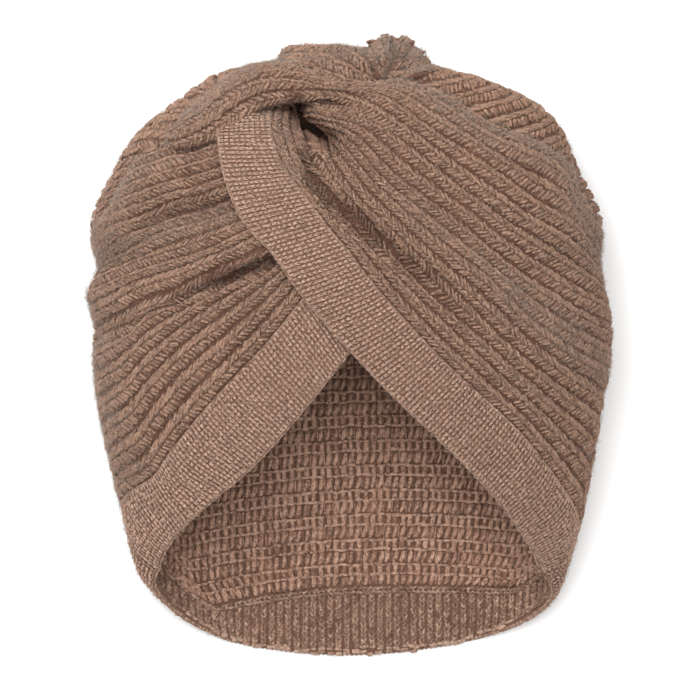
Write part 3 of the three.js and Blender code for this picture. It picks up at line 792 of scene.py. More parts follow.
def rib_relief(points: Array, normals: Array) -> Array:
    """Share of the ribs' height that is left where the knit is pressed, worn or pulled round a side."""
    pressed = smoothstep(points[..., 2], *PRESSED)
    least, more = SIDE_RELIEF
    turned = least + more * smoothstep(np.abs(normals[..., 2]), *SIDE_TILT)
    return pressed * turned * (1 - softness(points))


@dataclass(frozen=True)
class Column:
    """Line that a column of stitches follows on a grid, with its width in the grid's units."""

    runs: RunsAlong
    ends: Pair
    centre: Callable[[Array], Array]
    width: Callable[[Array], Array]

    def read(self, grid: KnitGrid, along: Array, side: Array) -> tuple[Array, Array]:
        """Points and normals at places along the column, side widths away from its middle."""
        across = self.centre(along) + side * self.width(along)
        return grid.read(along, across) if self.runs is RunsAlong.RIB else grid.read(across, along)

    @classmethod
    def straight(cls, runs: RunsAlong, ends: Pair, centre: float, width: float) -> "Column":
        """A column that keeps its place and width."""
        return cls(runs, ends, lambda t: np.full(np.shape(t), centre),
                   lambda t: np.full(np.shape(t), width))


@dataclass(frozen=True)
class Leg:
    """One strand of a stitch: its length and thickness in mm and its way over the column's width."""

    length: float
    radius: float
    spread: tuple[float, float, float, float]
    lift: float = 0.0
    rough: float = 0.12


ROPE = Leg(3.9, 0.48, (0.03, 0.15, 0.31, 0.41), 0.05, 0.1)
STROKE = Leg(3.1, 0.48, (0.03, -0.14, -0.32, -0.43), 0.0, 0.17)
LEG_SHARES = np.array([-0.5, -0.17, 0.17, 0.5])
LEG_PUFFS = np.array([-0.7, 1.0, 0.8, -0.9])


@dataclass(frozen=True)
class Braid:
    """A column of knit stitches: sizes in mm, heights over the column's own width."""

    pitch: float = 1.72
    legs: tuple[Leg, ...] = (ROPE, STROKE)
    rise: float = 1.9
    puff: float = 0.42
    crest: float = -0.4
    usual: float = 6.0
    flow: float = 1.0
    jitter: float = 0.24
    strands: int = 2
    ply: float = 0.3
    twist: float = 0.9
    stray: float = 0.11
    shade: float = 0.0
    mottle: float = 1.0
    # Pits and creases whose depth paints shade on the stitches.
    pits: Sequence[Fold] = ()
    longest: float = 8.5
    samples: int = 240
    sizes: Pair = (0.45, 1.25)
    stretch: float = 0.6
    lean: Pair = (0.1, 0.015)
    puff_left: Pair = (0.4, 0.6)
    # Painted highlight: tone added to the stitches along the soft crests.
    crest_painted_highlight: float = 1.7
    uneven: Pair = (0.16, 0.5)

    def lay(self, mesh: KnitMesh, grid: KnitGrid, column: Column, yarn: Yarn, rng: np.random.Generator,
            offset: float = 0.0, inside: bool = False,
            keep: Optional[Callable[[Array], Array]] = None) -> None:
        """Lays one column of stitches on a grid.

        Args:
            mesh: Mesh to add to.
            grid: Surface the column lies on.
            column: Line that the stitches follow.
            yarn: Detail of the stitches.
            rng: Source of small irregularities.
            offset: Extra height of the column over the grid.
            inside: True for stitches on the inner face.
            keep: Says which stitches to keep from their points.
        """
        fine = np.linspace(*column.ends, self.samples)
        line, _ = column.read(grid, fine, np.zeros(self.samples))
        length = arc_length(line)
        count = max(int(length[-1] / self.pitch), 1)
        place = (np.arange(count) + 0.5) * length[-1] / count
        here = np.interp(place, length, fine)
        spot, _ = column.read(grid, here, np.zeros(count))
        if keep is not None:
            kept = keep(spot)
            place, here = place[kept], here[kept]
            count = len(place)
        if not count:
            return
        low, _ = column.read(grid, here, np.full(count, -0.5))
        high, _ = column.read(grid, here, np.full(count, 0.5))
        size = np.clip(np.linalg.norm(high - low, axis=1) / self.usual, *self.sizes)
        face = -1.0 if inside else 1.0
        puffs = LEG_PUFFS * self.puff
        for leg in self.legs:
            wander = rng.normal(0, self.jitter, (2, count))
            stretch = 1 + self.stretch * wander[:1].T
            at = place[:, None] + self.flow * leg.length * LEG_SHARES * stretch + wander[1][:, None]
            run = places_at(at, length, fine)
            wider, shifted = (rng.normal(0, amount, (count, 1)) for amount in self.lean)
            side = np.array(leg.spread) * (1 + wider) + shifted
            point, normal = column.read(grid, run, side)
            relief = rib_relief(point, normal) if not inside else np.ones(side.shape)
            valley = -self.rise * (1 - np.cos(np.pi * side)) * relief
            puff = puffs * size[:, None] * (self.puff_left[0] + self.puff_left[1] * relief) + leg.lift
            height = offset + face * (self.crest + valley + puff + rng.normal(0, leg.rough, (count, 1)))
            path = point + normal * height[..., None]
            across = np.cross(unit(np.gradient(path, axis=1)), normal)
            turn = rng.uniform(0, 2 * math.pi, (count, 1)) + np.arange(4) * self.twist
            shade = rng.normal(self.shade, self.mottle, count)
            # Painted shade: stitches darker the deeper they lie in the given pits and creases.
            shade = shade + PAINTED_PIT_SHADE * folds_height(self.pits, point[:, 1] - FORM.offset)
            # Painted highlight: stitches lighter along the soft crests.
            shade = shade + (0.0 if inside else self.crest_painted_highlight * softness(point[:, 1]))
            short = np.linalg.norm(path[:, 3] - path[:, 0], axis=1) < self.longest
            top = (normal[:, 1] * face)[short]
            for strand in range(self.strands):
                phase = (turn + strand * 2 * math.pi / self.strands)[..., None]
                away = (across * np.cos(phase) + normal * np.sin(phase)) * (self.ply * size)[:, None, None]
                stray = rng.normal(0, self.stray, path.shape)
                radius = leg.radius * size * (1 + rng.normal(0, self.uneven[0], count))
                tone = shade + rng.normal(0, self.uneven[1], count)
                yarn.lay(mesh, (path + away + stray)[short], top, radius[short], tone[short])


@dataclass(frozen=True)
class Wall:
    """The closed knitted ground under the stitches of a piece, darker than them as painted shade of the
    gaps.
    """

    grid: KnitGrid
    thickness: float
    rise: float
    drop: float = 0.85
    # Painted shade of the ground: its tone on the rib crests, in the valleys and on the inner face.
    tones: tuple[float, float, float] = (-3.4, -6.2, -5.8)
    # Pits and creases whose depth paints shade on the ground.
    pits: Sequence[Fold] = ()
    edge_rise: float = 0.45
    least: float = 0.35
    # Painted highlight: tone added to the ground along the soft crests.
    crest_painted_highlight: float = 2.2

    def lay(self, mesh: KnitMesh) -> None:
        """Adds the outer face, the inner face and the edges between them."""
        table = self.grid.table
        nu, nv = table.shape[0], table.shape[1]
        points, normals = table[..., :3], table[..., 3:]
        relief = rib_relief(points, normals)
        dip = 1 - np.abs(np.sin(np.pi * self.grid.v))
        calm = np.where(self.grid.v < 0.5, self.edge_rise, 1.0)
        valley = (dip * calm)[None, :] * self.rise * relief
        depth = self.drop * smoothstep(points[..., 2], *PRESSED) + valley
        outer = points - normals * np.minimum(depth, self.thickness - self.least)[..., None]
        inner = points - normals * self.thickness
        index = np.arange(nu * nv).reshape(nu, nv)
        below = index + nu * nv
        over = [index[:-1, :-1], index[1:, :-1], index[1:, 1:], index[:-1, 1:]]
        under = [below[:-1, :-1], below[:-1, 1:], below[1:, 1:], below[1:, :-1]]
        quads = [np.stack(corners, -1).reshape(-1, 4) for corners in (over, under)]
        for edge, low in ((index[:, 0], below[:, 0]), (index[-1, :], below[-1, :])):
            quads.append(np.stack([edge[:-1], low[:-1], low[1:], edge[1:]], -1))
        for edge, low in ((index[:, -1], below[:, -1]), (index[0, :], below[0, :])):
            quads.append(np.stack([edge[:-1], edge[1:], low[1:], low[:-1]], -1))
        faces = np.concatenate([np.concatenate([q[:, [0, 1, 2]], q[:, [0, 2, 3]]]) for q in quads])
        along = np.gradient(points, axis=0)
        rising = np.gradient(points, axis=1)
        if np.sum(np.cross(along, rising) * normals) < 0:
            faces = faces[:, ::-1]
        cloud = np.concatenate([outer.reshape(-1, 3), inner.reshape(-1, 3)])
        # Painted shade: the ground is darker towards the valleys between ribs, in pits and on the inner
        # face. Painted highlight: it is lighter along soft crests.
        crest, low, inside = self.tones
        share = dip[None, :] * np.ones((nu, 1)) * (self.rise > 0)
        dark = PAINTED_PIT_SHADE * folds_height(self.pits, points.reshape(-1, 3) - FORM.offset)
        on_crests = self.crest_painted_highlight * softness(points).ravel() * (self.rise > 0)
        outside = (crest + (low - crest) * share).ravel() + dark + on_crests
        tones = np.concatenate([outside, np.full(nu * nv, inside)])
        mesh.add(cloud, faces, tones, np.zeros((len(cloud), 3)))


@dataclass
class KnitShades:
    """Shader groups that every wool finish shares, with the sizes of their grain."""

    fibre: Pair = (1050, 3)
    cloud: Pair = (160, 2)
    fuzz: Pair = (1700, 4)
    fuzz_rough: float = 0.65
    tone_share: float = 0.11
    ply_share: float = 0.18

    def colour_group(self) -> bpy.types.NodeTree:
        """Melange of light and dark fibres that changes along and between the yarns, with painted shade
        where the tone is low.
        """
        tree = bpy.data.node_groups.new("melange_fibres", "ShaderNodeTree")
        tree.interface.new_socket("Tone", in_out="INPUT", socket_type="NodeSocketFloat")
        for name in ("Light", "Dark", "Blush", "Painted Shade"):
            tree.interface.new_socket(name, in_out="INPUT", socket_type="NodeSocketColor")
        tree.interface.new_socket("Color", in_out="OUTPUT", socket_type="NodeSocketColor")
        into, out = tree.nodes.new("NodeGroupInput"), tree.nodes.new("NodeGroupOutput")
        fibre, cloud = self.noise(tree, *self.fibre), self.noise(tree, *self.cloud)
        shade = tree.nodes.new("ShaderNodeMath")
        shade.operation = "MULTIPLY_ADD"
        shade.inputs[1].default_value = self.tone_share
        tree.links.new(into.outputs["Tone"], shade.inputs[0])
        tree.links.new(self.spread(tree, fibre, (0.37, 0.64), (0.1, 1.0)), shade.inputs[2])
        base = self.mix(tree, shade.outputs["Value"], into.outputs["Dark"], into.outputs["Light"])
        warm = self.spread(tree, cloud, (0.45, 0.75), (0.0, 0.5))
        tint = self.mix(tree, warm, base, into.outputs["Blush"])
        # Painted shade: low tones are mixed towards the shade colour.
        painted_shade = self.spread(tree, into.outputs["Tone"], (-6.0, -2.5), (0.7, 0.0))
        shaded = self.mix(tree, painted_shade, tint, into.outputs["Painted Shade"])
        tree.links.new(shaded, out.inputs["Color"])
        return tree

    def relief_group(self) -> bpy.types.NodeTree:
        """Twisted plies and loose fibres as a height."""
        tree = bpy.data.node_groups.new("yarn_relief", "ShaderNodeTree")
        for name, kind in (("Ply", "NodeSocketVector"), ("Turns", "NodeSocketFloat")):
            tree.interface.new_socket(name, in_out="INPUT", socket_type=kind)
        tree.interface.new_socket("Height", in_out="OUTPUT", socket_type="NodeSocketFloat")
        nodes, link = tree.nodes, tree.links.new
        into, out = nodes.new("NodeGroupInput"), nodes.new("NodeGroupOutput")
        split = nodes.new("ShaderNodeSeparateXYZ")
        link(into.outputs["Ply"], split.inputs["Vector"])
        phase = self.maths(tree, "MULTIPLY", split.outputs["X"], into.outputs["Turns"])
        sine, cosine = self.maths(tree, "SINE", phase), self.maths(tree, "COSINE", phase)
        first = self.maths(tree, "MULTIPLY", sine, split.outputs["Y"])
        second = self.maths(tree, "MULTIPLY", cosine, split.outputs["Z"])
        plies = self.maths(tree, "ADD", first, second)
        fuzz = self.noise(tree, *self.fuzz, self.fuzz_rough)
        soft = nodes.new("ShaderNodeMath")
        soft.operation = "MULTIPLY_ADD"
        soft.inputs[1].default_value = self.ply_share
        link(plies, soft.inputs[0])
        link(fuzz, soft.inputs[2])
        link(soft.outputs["Value"], out.inputs["Height"])
        return tree

    @staticmethod
    def noise(tree: bpy.types.NodeTree, scale: float, detail: float,
              rough: float = 0.5) -> bpy.types.NodeSocket:
        """Grain of the given scale and detail over the object's own places.

        Args:
            tree: Tree to add to.
            scale: Grains on a metre.
            detail: Number of finer layers.
            rough: Strength of the finer layers.

        Returns:
            The grain's value.
        """
        place, grain = tree.nodes.new("ShaderNodeTexCoord"), tree.nodes.new("ShaderNodeTexNoise")
        for name, value in (("Scale", scale), ("Detail", detail), ("Roughness", rough)):
            grain.inputs[name].default_value = value
        tree.links.new(place.outputs["Object"], grain.inputs["Vector"])
        return grain.outputs["Fac"]

    @staticmethod
    def spread(tree: bpy.types.NodeTree, value: bpy.types.NodeSocket, source: Pair,
               target: Pair) -> bpy.types.NodeSocket:
        """A value spread from one range to another.

        Args:
            tree: Tree to add to.
            value: Socket to read.
            source: Range that is read.
            target: Range that it becomes.

        Returns:
            The new value.
        """
        node = tree.nodes.new("ShaderNodeMapRange")
        for name, limit in zip(("From Min", "From Max", "To Min", "To Max"), (*source, *target)):
            node.inputs[name].default_value = limit
        tree.links.new(value, node.inputs["Value"])
        return node.outputs["Result"]

    @staticmethod
    def mix(tree: bpy.types.NodeTree, share: bpy.types.NodeSocket, first: bpy.types.NodeSocket,
            second: bpy.types.NodeSocket) -> bpy.types.NodeSocket:
        """Two colours mixed by a share.

        Args:
            tree: Tree to add to.
            share: Share of the second colour.
            first: First colour.
            second: Second colour.

        Returns:
            The mixed colour.
        """
        node = tree.nodes.new("ShaderNodeMix")
        node.data_type = "RGBA"
        for name, source in (("Factor", share), ("A", first), ("B", second)):
            tree.links.new(source, node.inputs[name])
        return node.outputs["Result"]

    @staticmethod
    def maths(tree: bpy.types.NodeTree, operation: str,
              *inputs: bpy.types.NodeSocket) -> bpy.types.NodeSocket:
        """One maths node fed by the given sockets.

        Args:
            tree: Tree to add to.
            operation: Name of the operation.
            inputs: Sockets to read.

        Returns:
            The node's output.
        """
        node = tree.nodes.new("ShaderNodeMath")
        node.operation = operation
        for socket, source in zip(node.inputs, inputs):
            tree.links.new(source, socket)
        return node.outputs["Value"]


@dataclass(frozen=True)
class WoolFinish:
    """Matte wool: melange colours, sheen of loose fibres and yarn relief."""

    name: str
    light: Colour
    dark: Colour
    blush: Colour
    # Colour of painted shade, mixed in where the tone is very low.
    painted_shade: Colour = (0.085, 0.036, 0.023, 1.0)
    sheen: float = 0.2
    sheen_tint: Colour = (0.72, 0.52, 0.42, 1.0)
    soft: float = 0.35
    turns: float = 3.6
    relief: float = 0.8
    relief_depth: float = 0.0005
    rough: float = 0.92
    shine: float = 0.12
    sheen_rough: float = 0.42
    soft_depth: float = 0.0012
    soft_colours: tuple[float, float, float] = (1.0, 0.7, 0.55)

    def material(self, colours: bpy.types.NodeTree, relief: bpy.types.NodeTree) -> bpy.types.Material:
        """Makes the material.

        Args:
            colours: The melange group.
            relief: The yarn relief group.

        Returns:
            The new material.
        """
        made = bpy.data.materials.new(self.name)
        made.use_nodes = True
        nodes, link = made.node_tree.nodes, made.node_tree.links.new
        shader = nodes["Principled BSDF"]
        for name, value in (("Roughness", self.rough), ("Specular IOR Level", self.shine),
                            ("Sheen Weight", self.sheen), ("Sheen Roughness", self.sheen_rough),
                            ("Sheen Tint", self.sheen_tint), ("Subsurface Weight", self.soft),
                            ("Subsurface Radius", self.soft_colours), ("Subsurface Scale", self.soft_depth)):
            shader.inputs[name].default_value = value
        tone, ply = nodes.new("ShaderNodeAttribute"), nodes.new("ShaderNodeAttribute")
        tone.attribute_name, ply.attribute_name = "tone", "ply"
        melange = nodes.new("ShaderNodeGroup")
        melange.node_tree = colours
        for name, colour in (("Light", self.light), ("Dark", self.dark), ("Blush", self.blush),
                             ("Painted Shade", self.painted_shade)):
            melange.inputs[name].default_value = colour
        link(tone.outputs["Fac"], melange.inputs["Tone"])
        link(melange.outputs["Color"], shader.inputs["Base Color"])
        height = nodes.new("ShaderNodeGroup")
        height.node_tree = relief
        height.inputs["Turns"].default_value = self.turns
        link(ply.outputs["Vector"], height.inputs["Ply"])
        bump = nodes.new("ShaderNodeBump")
        bump.inputs["Strength"].default_value = self.relief
        bump.inputs["Distance"].default_value = self.relief_depth
        link(height.outputs["Height"], bump.inputs["Height"])
        link(bump.outputs["Normal"], shader.inputs["Normal"])
        return made


RIBBED = WoolFinish("ribbed_wool_knit", (0.36, 0.224, 0.158, 1), (0.12, 0.064, 0.042, 1),
                    (0.292, 0.17, 0.118, 1))
BAND = WoolFinish("band_wool_knit", (0.478, 0.313, 0.234, 1), (0.182, 0.105, 0.072, 1),
                  (0.336, 0.208, 0.151, 1))
INNER = WoolFinish("inside_wool_knit", (0.47, 0.292, 0.212, 1), (0.18, 0.095, 0.064, 1),
                   (0.39, 0.222, 0.157, 1))
SHADED = WoolFinish("shaded_wool_knit", (0.05, 0.028, 0.02, 1), (0.02, 0.01, 0.007, 1),
                    (0.04, 0.02, 0.014, 1), (0.012, 0.006, 0.004, 1), sheen=0.0)
# Loose fibres, lighter and greyer than the knit: partly their own colour and partly painted sheen of light
# grazing them.
LOOSE = WoolFinish("loose_wool_fibres", (0.42, 0.31, 0.245, 1), (0.2, 0.14, 0.107, 1),
                   (0.34, 0.235, 0.18, 1))


@dataclass
class RibbedPiece:
    """A ribbed part of the bonnet: its knitted ground and the V stitches of every rib."""

    name: str
    nodes: Sequence[str]
    sheet: Sheet
    ribs: tuple[int, int]
    covered: int = 0
    ends: Pair = (0.0, 1.0)
    braid: Braid = Braid()
    wall: float = 2.6
    drop: float = 0.85
    # Painted shade of the ground on crests, in valleys and on the inner face.
    tones: tuple[float, float, float] = (-3.4, -6.2, -5.8)
    steps: int = 84
    seed: int = 1
    rows: int = 5
    edge_rise: float = 0.6

    def build(self, material: bpy.types.Material) -> KnitGrid:
        """Builds the ground and its stitches.

        Args:
            material: The ribbed wool.

        Returns:
            The grid that the piece lies on.
        """
        low, high = self.ribs
        grid = KnitGrid(self.sheet, self.ends, (low, high), self.steps, (high - low) * self.rows)
        ground = KnitMesh(f"{self.name}_ground")
        Wall(grid, self.wall, self.braid.rise, self.drop, self.tones, self.braid.pits).lay(ground)
        ground.build(material, "ribbed_wool", self.nodes)
        stitches = KnitMesh(f"{self.name}_stitches")
        rng = np.random.default_rng(self.seed)
        for rib in range(low, high - self.covered):
            column = Column.straight(RunsAlong.RIB, self.ends, rib + 0.5, 1.0)
            rise = self.braid.rise * (self.edge_rise if rib == low else 1.0)
            replace(self.braid, rise=rise).lay(stitches, grid, column, STITCH_YARN, rng)
        stitches.build(material, "ribbed_wool", self.nodes)
        return grid


@dataclass
class BackPiece:
    """The ribbed back and crown: its knitted ground and the stitches of its outer ribs."""

    sheet: BackSheet
    crown: int = 13
    top: int = 33
    wall: float = 2.6
    braid: Braid = Braid(strands=1, ply=0.0, rise=1.45, mottle=0.8,
                         legs=(replace(ROPE, radius=0.58), replace(STROKE, radius=0.58)))
    # Painted shade of the ground on crests, in valleys and on the inner face.
    tones: tuple[float, float, float] = (-3.0, -5.4, -4.7)
    ends: Pair = (-0.004, 1.004)
    steps: int = 96
    rows: int = 3
    seed: int = 5

    def build(self, material: bpy.types.Material) -> KnitGrid:
        """Builds the ground and the outer stitches.

        Args:
            material: The ribbed wool.

        Returns:
            The grid that the back lies on.
        """
        grid = KnitGrid(self.sheet, self.ends, (0, self.top), self.steps, self.top * self.rows)
        ground = KnitMesh("back_crown_ground")
        Wall(grid, self.wall, self.braid.rise, tones=self.tones).lay(ground)
        ground.build(material, "ribbed_wool", ["back_crown"])
        rng = np.random.default_rng(self.seed)
        for name, first, last in (("back_lower_stitches", 0, self.crown),
                                  ("back_crown_stitches", self.crown, self.top)):
            mesh = KnitMesh(name)
            for rib in range(first, last):
                column = Column.straight(RunsAlong.RIB, (0, 1), rib + 0.5, 1.0)
                for yarn, keep in ((STITCH_YARN, self.seen), (THIN_YARN, self.pressed)):
                    self.braid.lay(mesh, grid, column, yarn, rng, keep=keep)
            mesh.build(material, "ribbed_wool", ["back_crown"])
        return grid

    @staticmethod
    def seen(points: Array) -> Array:
        """True for stitches clear of the table."""
        return points[:, 2] > TABLE_CLEAR

    @staticmethod
    def pressed(points: Array) -> Array:
        """True for stitches that lie on the table."""
        return points[:, 2] <= TABLE_CLEAR


@dataclass
class InsideKnit:
    """What shows through the opening: the open rows of the back and the ribs of the nape band."""

    sheet: InsideSheet
    wall: float = 2.6
    nape_wall: float = 2.2
    column: float = 2.62
    nape_column: float = 2.95
    rows: int = 11
    pair: float = 0.19
    place: float = 0.72
    reach: float = 84.0
    shadow: float = 1.5
    shadow_rows: Pair = (0.0, 5.0)
    seed: int = 7
    ends: Pair = (0.03, 0.97)
    steps: tuple[int, int] = (160, 8)
    lowest_drop: float = 0.04
    chain_row: float = -0.05
    chain_width: float = 0.17
    chain_lift: float = 1.4
    rib_lift: float = 0.55
    rib_ends: Pair = (-0.91, -0.08)
    hem_rows: Sequence[Spot] = ((-0.97, 0.85), (-0.92, 0.75))
    wander: Pair = (0.15, 0.16)
    braid: Braid = Braid(pitch=1.75, rise=1.45, puff=0.25, crest=0.0, usual=2.95, jitter=0.1, strands=1,
                         ply=0.0, stray=0.05, shade=-3.0, mottle=0.8,
                         legs=(Leg(2.7, 0.6, (0.03, 0.12, 0.25, 0.31)),
                               Leg(2.7, 0.6, (-0.03, -0.12, -0.25, -0.31))))

    def build(self, ribbed: bpy.types.Material, band: bpy.types.Material) -> KnitGrid:
        """Builds the stitches of the back and of the nape band.

        Args:
            ribbed: The ribbed wool.
            band: The band wool.

        Returns:
            The grid that the inside lies on.
        """
        across, row_steps = self.steps
        levels = (-1.0, self.rows + 1.0)
        grid = KnitGrid(self.sheet, self.ends, levels, across, (self.rows + 2) * row_steps)
        rng = np.random.default_rng(self.seed)
        mesh = KnitMesh("back_inside_stitches")
        self.drops(mesh, grid, self.lowest_drop, self.place - self.pair, rng)
        for row in range(self.rows):
            at = row + self.place
            for level in (at - self.pair, at + self.pair):
                self.rail(mesh, grid, level, rng)
            self.rungs(mesh, grid, at, rng)
            self.drops(mesh, grid, at + self.pair, min(at + 1 - self.pair, self.rows + 1), rng)
        mesh.build(ribbed, "ribbed_wool", ["back_crown"])
        nape = KnitMesh("nape_inside_stitches")
        self.ridge(nape, grid, rng)
        self.ribs(nape, grid, rng)
        self.hem(nape, grid, rng)
        nape.build(band, "band_wool", ["nape_band"])
        return grid

    def ruler(self, grid: KnitGrid, level: float) -> tuple[Array, Array]:
        """Distances from the middle along a row, and the places at which they fall."""
        fine = np.linspace(grid.u[0], grid.u[-1], SAMPLES)
        line, _ = grid.read(fine, np.full(SAMPLES, level))
        step = np.diff(line, axis=0)
        length = np.concatenate([[0], np.cumsum(np.hypot(step[:, 0], step[:, 2]))])
        return length - np.interp(0.0, np.maximum.accumulate(line[:, 0]), length), fine

    def middles(self, grid: KnitGrid, level: float, pitch: float) -> Array:
        """Middles of the columns that fit on a row."""
        length, _ = self.ruler(grid, level)
        count = int(min(-length[0], length[-1], self.reach) / pitch) - 1
        return (np.arange(-count, count) + 0.5) * pitch

    def strands(self, mesh: KnitMesh, grid: KnitGrid, middle: Array, away: Array, levels: Array,
                height: Array, radius: float, tone: float, rng: np.random.Generator,
                yarn: Yarn = Yarn(5, 2)) -> None:
        """Adds one strand for each column.

        Args:
            mesh: Mesh to add to.
            grid: The inside's surface.
            middle: Middle of each column.
            away: Distances of the control points from it.
            levels: Rows of the control points.
            height: Heights of the control points over the inner face.
            radius: Half thickness.
            tone: Shade.
            rng: Source of small irregularities.
            yarn: Detail of the strands.
        """
        n, row = len(middle), float(np.mean(levels))
        length, fine = self.ruler(grid, row)
        tone -= self.shadow * float(1 - smoothstep(row, *self.shadow_rows)) * (row > 0)
        wider, shifted = (rng.normal(0, amount, (n, 1)) for amount in self.wander)
        distance = middle[:, None] + away * (1 + wider) + shifted
        rows = levels + rng.normal(0, 0.015, (n, 1))
        point, normal = grid.read(np.interp(distance, length, fine), rows)
        tall = self.wall + height + rng.normal(0, 0.12, (n, 1))
        path = point - normal * tall[..., None] + rng.normal(0, 0.15, point.shape)
        sizes = radius * (1 + rng.normal(0, 0.13, n))
        yarn.lay(mesh, path, -normal[:, 1], sizes, tone + rng.normal(0, 1.3, n))

    def rail(self, mesh: KnitMesh, grid: KnitGrid, level: float, rng: np.random.Generator) -> None:
        """Purl bumps side by side along one level."""
        away = np.array([-0.56, -0.2, 0.2, 0.56]) * self.column
        levels = level + np.array([-0.05, 0.04, 0.04, -0.05])
        height = np.array([-0.1, 0.8, 0.8, -0.1])
        middle = self.middles(grid, level, self.column)[:-1] + self.column / 2
        self.strands(mesh, grid, middle, away, levels, height, 0.8, 1.7, rng)

    def ridge(self, mesh: KnitMesh, grid: KnitGrid, rng: np.random.Generator) -> None:
        """Raised chain of stitches along the seam over the nape band."""
        low, high = np.interp([-self.reach, self.reach], *self.ruler(grid, self.chain_row))
        column = Column.straight(RunsAlong.RIB, (low, high), self.chain_row, self.chain_width)
        offset = -self.nape_wall - self.chain_lift
        self.braid.lay(mesh, grid, column, STITCH_YARN, rng, offset=offset, inside=True)

    def rungs(self, mesh: KnitMesh, grid: KnitGrid, at: float, rng: np.random.Generator) -> None:
        """Strands that join the two rails between the columns."""
        middle = self.middles(grid, at, self.column)[:-1] + self.column / 2
        levels = at + np.array([-1.2, -0.4, 0.4, 1.2]) * self.pair
        height = np.array([0.1, 0.35, 0.35, 0.1])
        self.strands(mesh, grid, middle, np.zeros(4), levels, height, 1.1, 0.2, rng)

    def drops(self, mesh: KnitMesh, grid: KnitGrid, low: float, high: float,
              rng: np.random.Generator) -> None:
        """Plump leaning stitches between two pairs of rails, with a thinner strand behind each."""
        middle = self.middles(grid, (low + high) / 2, self.column)[:-1] + self.column / 2
        levels = low + (high - low) * np.array([0.06, 0.36, 0.64, 0.94])
        behind = np.array([0.5, 0.36, 0.36, 0.5]) * self.column
        self.strands(mesh, grid, middle, behind, levels, np.zeros(4), 0.5, -1.8, rng, STITCH_YARN)
        plump = np.array([-0.34, -0.04, 0.2, 0.1]) * self.column
        height = np.array([-0.2, 0.6, 0.6, -0.2])
        self.strands(mesh, grid, middle, plump, levels, height, 1.02, 0.6, rng, Yarn(5, 3))

    def ribs(self, mesh: KnitMesh, grid: KnitGrid, rng: np.random.Generator) -> None:
        """Upright rounded ribs of the nape band."""
        levels = np.linspace(-1.0, 0.0, 9)
        rulers = [self.ruler(grid, level) for level in levels]
        for middle in self.middles(grid, -0.5, self.nape_column):
            places = np.array([np.interp(middle, *ruler) for ruler in rulers])
            ahead = np.array([np.interp(middle + self.nape_column, *ruler) for ruler in rulers])
            column = Column(RunsAlong.ACROSS, self.rib_ends, lambda t, m=places: np.interp(t, levels, m),
                            lambda t, w=ahead - places: np.interp(t, levels, w))
            offset = -self.nape_wall - self.rib_lift
            self.braid.lay(mesh, grid, column, Yarn(5, 3), rng, offset=offset, inside=True)

    def hem(self, mesh: KnitMesh, grid: KnitGrid, rng: np.random.Generator) -> None:
        """Two rows of square stitches along the free edge."""
        away = np.array([-0.5, -0.2, 0.2, 0.5]) * self.nape_column
        height = np.array([-0.3, 0.2, 0.2, -0.3])
        for level, radius in self.hem_rows:
            middle = self.middles(grid, level, self.nape_column)
            self.strands(mesh, grid, middle, away, np.full(4, level), height, radius, 0.0, rng)


